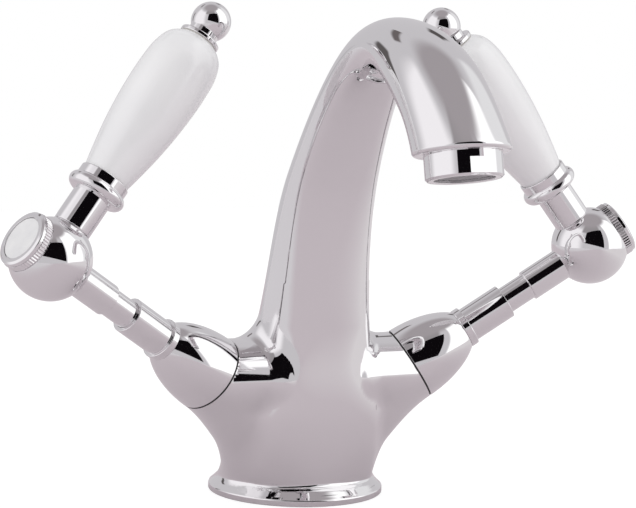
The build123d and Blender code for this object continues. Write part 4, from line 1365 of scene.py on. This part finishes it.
def stage_panel(name, corners):
    """A flat panel of the stage and the node tree of its material."""
    mesh = bpy.data.meshes.new(name)
    mesh.from_pydata(corners, [], [(0, 1, 2, 3)])
    panel = bpy.data.objects.new(name, mesh)
    bpy.context.scene.collection.objects.link(panel)
    material = bpy.data.materials.new(name)
    mesh.materials.append(material)
    return panel, Graph(material)


def card(name, corners, color):
    """A panel of the studio that only polished surfaces see."""
    panel, graph = stage_panel(name, corners)
    glow = graph.new("Emission", Color=(*color, 1), Strength=1.0)
    graph.new("OutputMaterial", Surface=glow.outputs["Emission"])
    panel.visible_camera = False
    panel.visible_diffuse = False
    panel.visible_shadow = False


def floor():
    """Floor: near white to the camera, and a mauve table, paler to both sides, in reflections."""
    corners = [(x * FLOOR_REACH, y * FLOOR_REACH, 0) for x, y in ((-1, -1), (1, -1), (1, 1), (-1, 1))]
    table, graph = stage_panel("floor", corners)
    white = graph.new("BsdfDiffuse", Color=(0.3, 0.3, 0.3, 1)).outputs["BSDF"]
    glow = graph.new("Emission", Strength=0.8).outputs["Emission"]
    lit = graph.nodes.new("ShaderNodeAddShader")
    for socket, value in zip(lit.inputs, (white, glow)):
        graph.set(socket, value)
    place = graph.new("NewGeometry").outputs["Position"]
    half = graph.math("DIVIDE", graph.new("SeparateXYZ", Vector=place).outputs["X"], 2 * FLOOR_REACH)
    tint = graph.new("ValToRGB", Fac=graph.math("ADD", half, 0.5))
    for spot, shade in FLOOR_STOPS[2:]:
        tint.color_ramp.elements.new(spot)
    for element, (spot, shade) in zip(tint.color_ramp.elements, FLOOR_STOPS):
        element.position = spot
        element.color = (*shade, 1)
    grey = graph.new("BsdfDiffuse", Color=tint.outputs["Color"]).outputs["BSDF"]
    seen = graph.new("LightPath").outputs["Is Camera Ray"]
    graph.choose(seen, grey, lit.outputs["Shader"], "OutputMaterial")


def world():
    """Studio walls of several greys under a grey ceiling, as polished metal sees them. The camera sees
    pure white, and matt surfaces are lit mostly by white.

    The turn is the compass angle of a direction in degrees, 0 towards the front and 90 towards
    the right; the rise is its angle above the horizon."""
    room = bpy.data.worlds.new("studio")
    bpy.context.scene.world = room
    graph = Graph(room)
    x, y, z = graph.new("SeparateXYZ", Vector=graph.new("TexCoord").outputs["Generated"]).outputs
    degrees = 180 / pi
    turn = graph.math("MULTIPLY", graph.math("ARCTAN2", x, graph.math("MULTIPLY", y, -1.0)), degrees)
    rise = graph.math("MULTIPLY", graph.math("ARCSINE", z), degrees)
    shade = (*WALLS[0][1], 1)
    for _, color, turns, rises, soft_turn, soft_rise in WALLS[1:]:
        share = graph.window(rise, *rises, soft_rise)
        if turns:
            share = graph.math("MULTIPLY", share, graph.window(turn, *turns, soft_turn))
        shade = graph.blend(share, shade, (*color, 1))
    light = graph.new("Background", Color=shade).outputs["Background"]
    backdrop = graph.new("Background", Color=(1, 1, 1, 1)).outputs["Background"]
    paths = graph.new("LightPath").outputs
    fill = graph.math("MULTIPLY", paths["Is Diffuse Ray"], DIFFUSE_WHITE)
    graph.choose(graph.math("MAXIMUM", paths["Is Camera Ray"], fill), light, backdrop, "OutputWorld")


def studio():
    camera()
    world()
    floor()
    card("dark_opening", OPENING, OPENING_COLOR)
    bpy.context.scene.view_settings.view_transform = "Standard"


polished_body()
outlet_fitting()
outlet_mesh()
for side_name, side_sign in (("hot", -1), ("cold", 1)):
    # Dark ring of painted shade in each seam's gap
    seam_painted_shade_ring(side_name, side_sign)
    valve_shroud(side_name, side_sign)
    cover_sleeve(side_name, side_sign)
    handle_hub(side_name, side_sign)
    index_cap(side_name, side_sign)
    index_disc(side_name, side_sign)
    lever_stem(side_name, side_sign)
    lever_ferrule(side_name, side_sign)
    porcelain_grip(side_name, side_sign)
    finial(side_name, side_sign)
finish_cad_nodes()
studio()
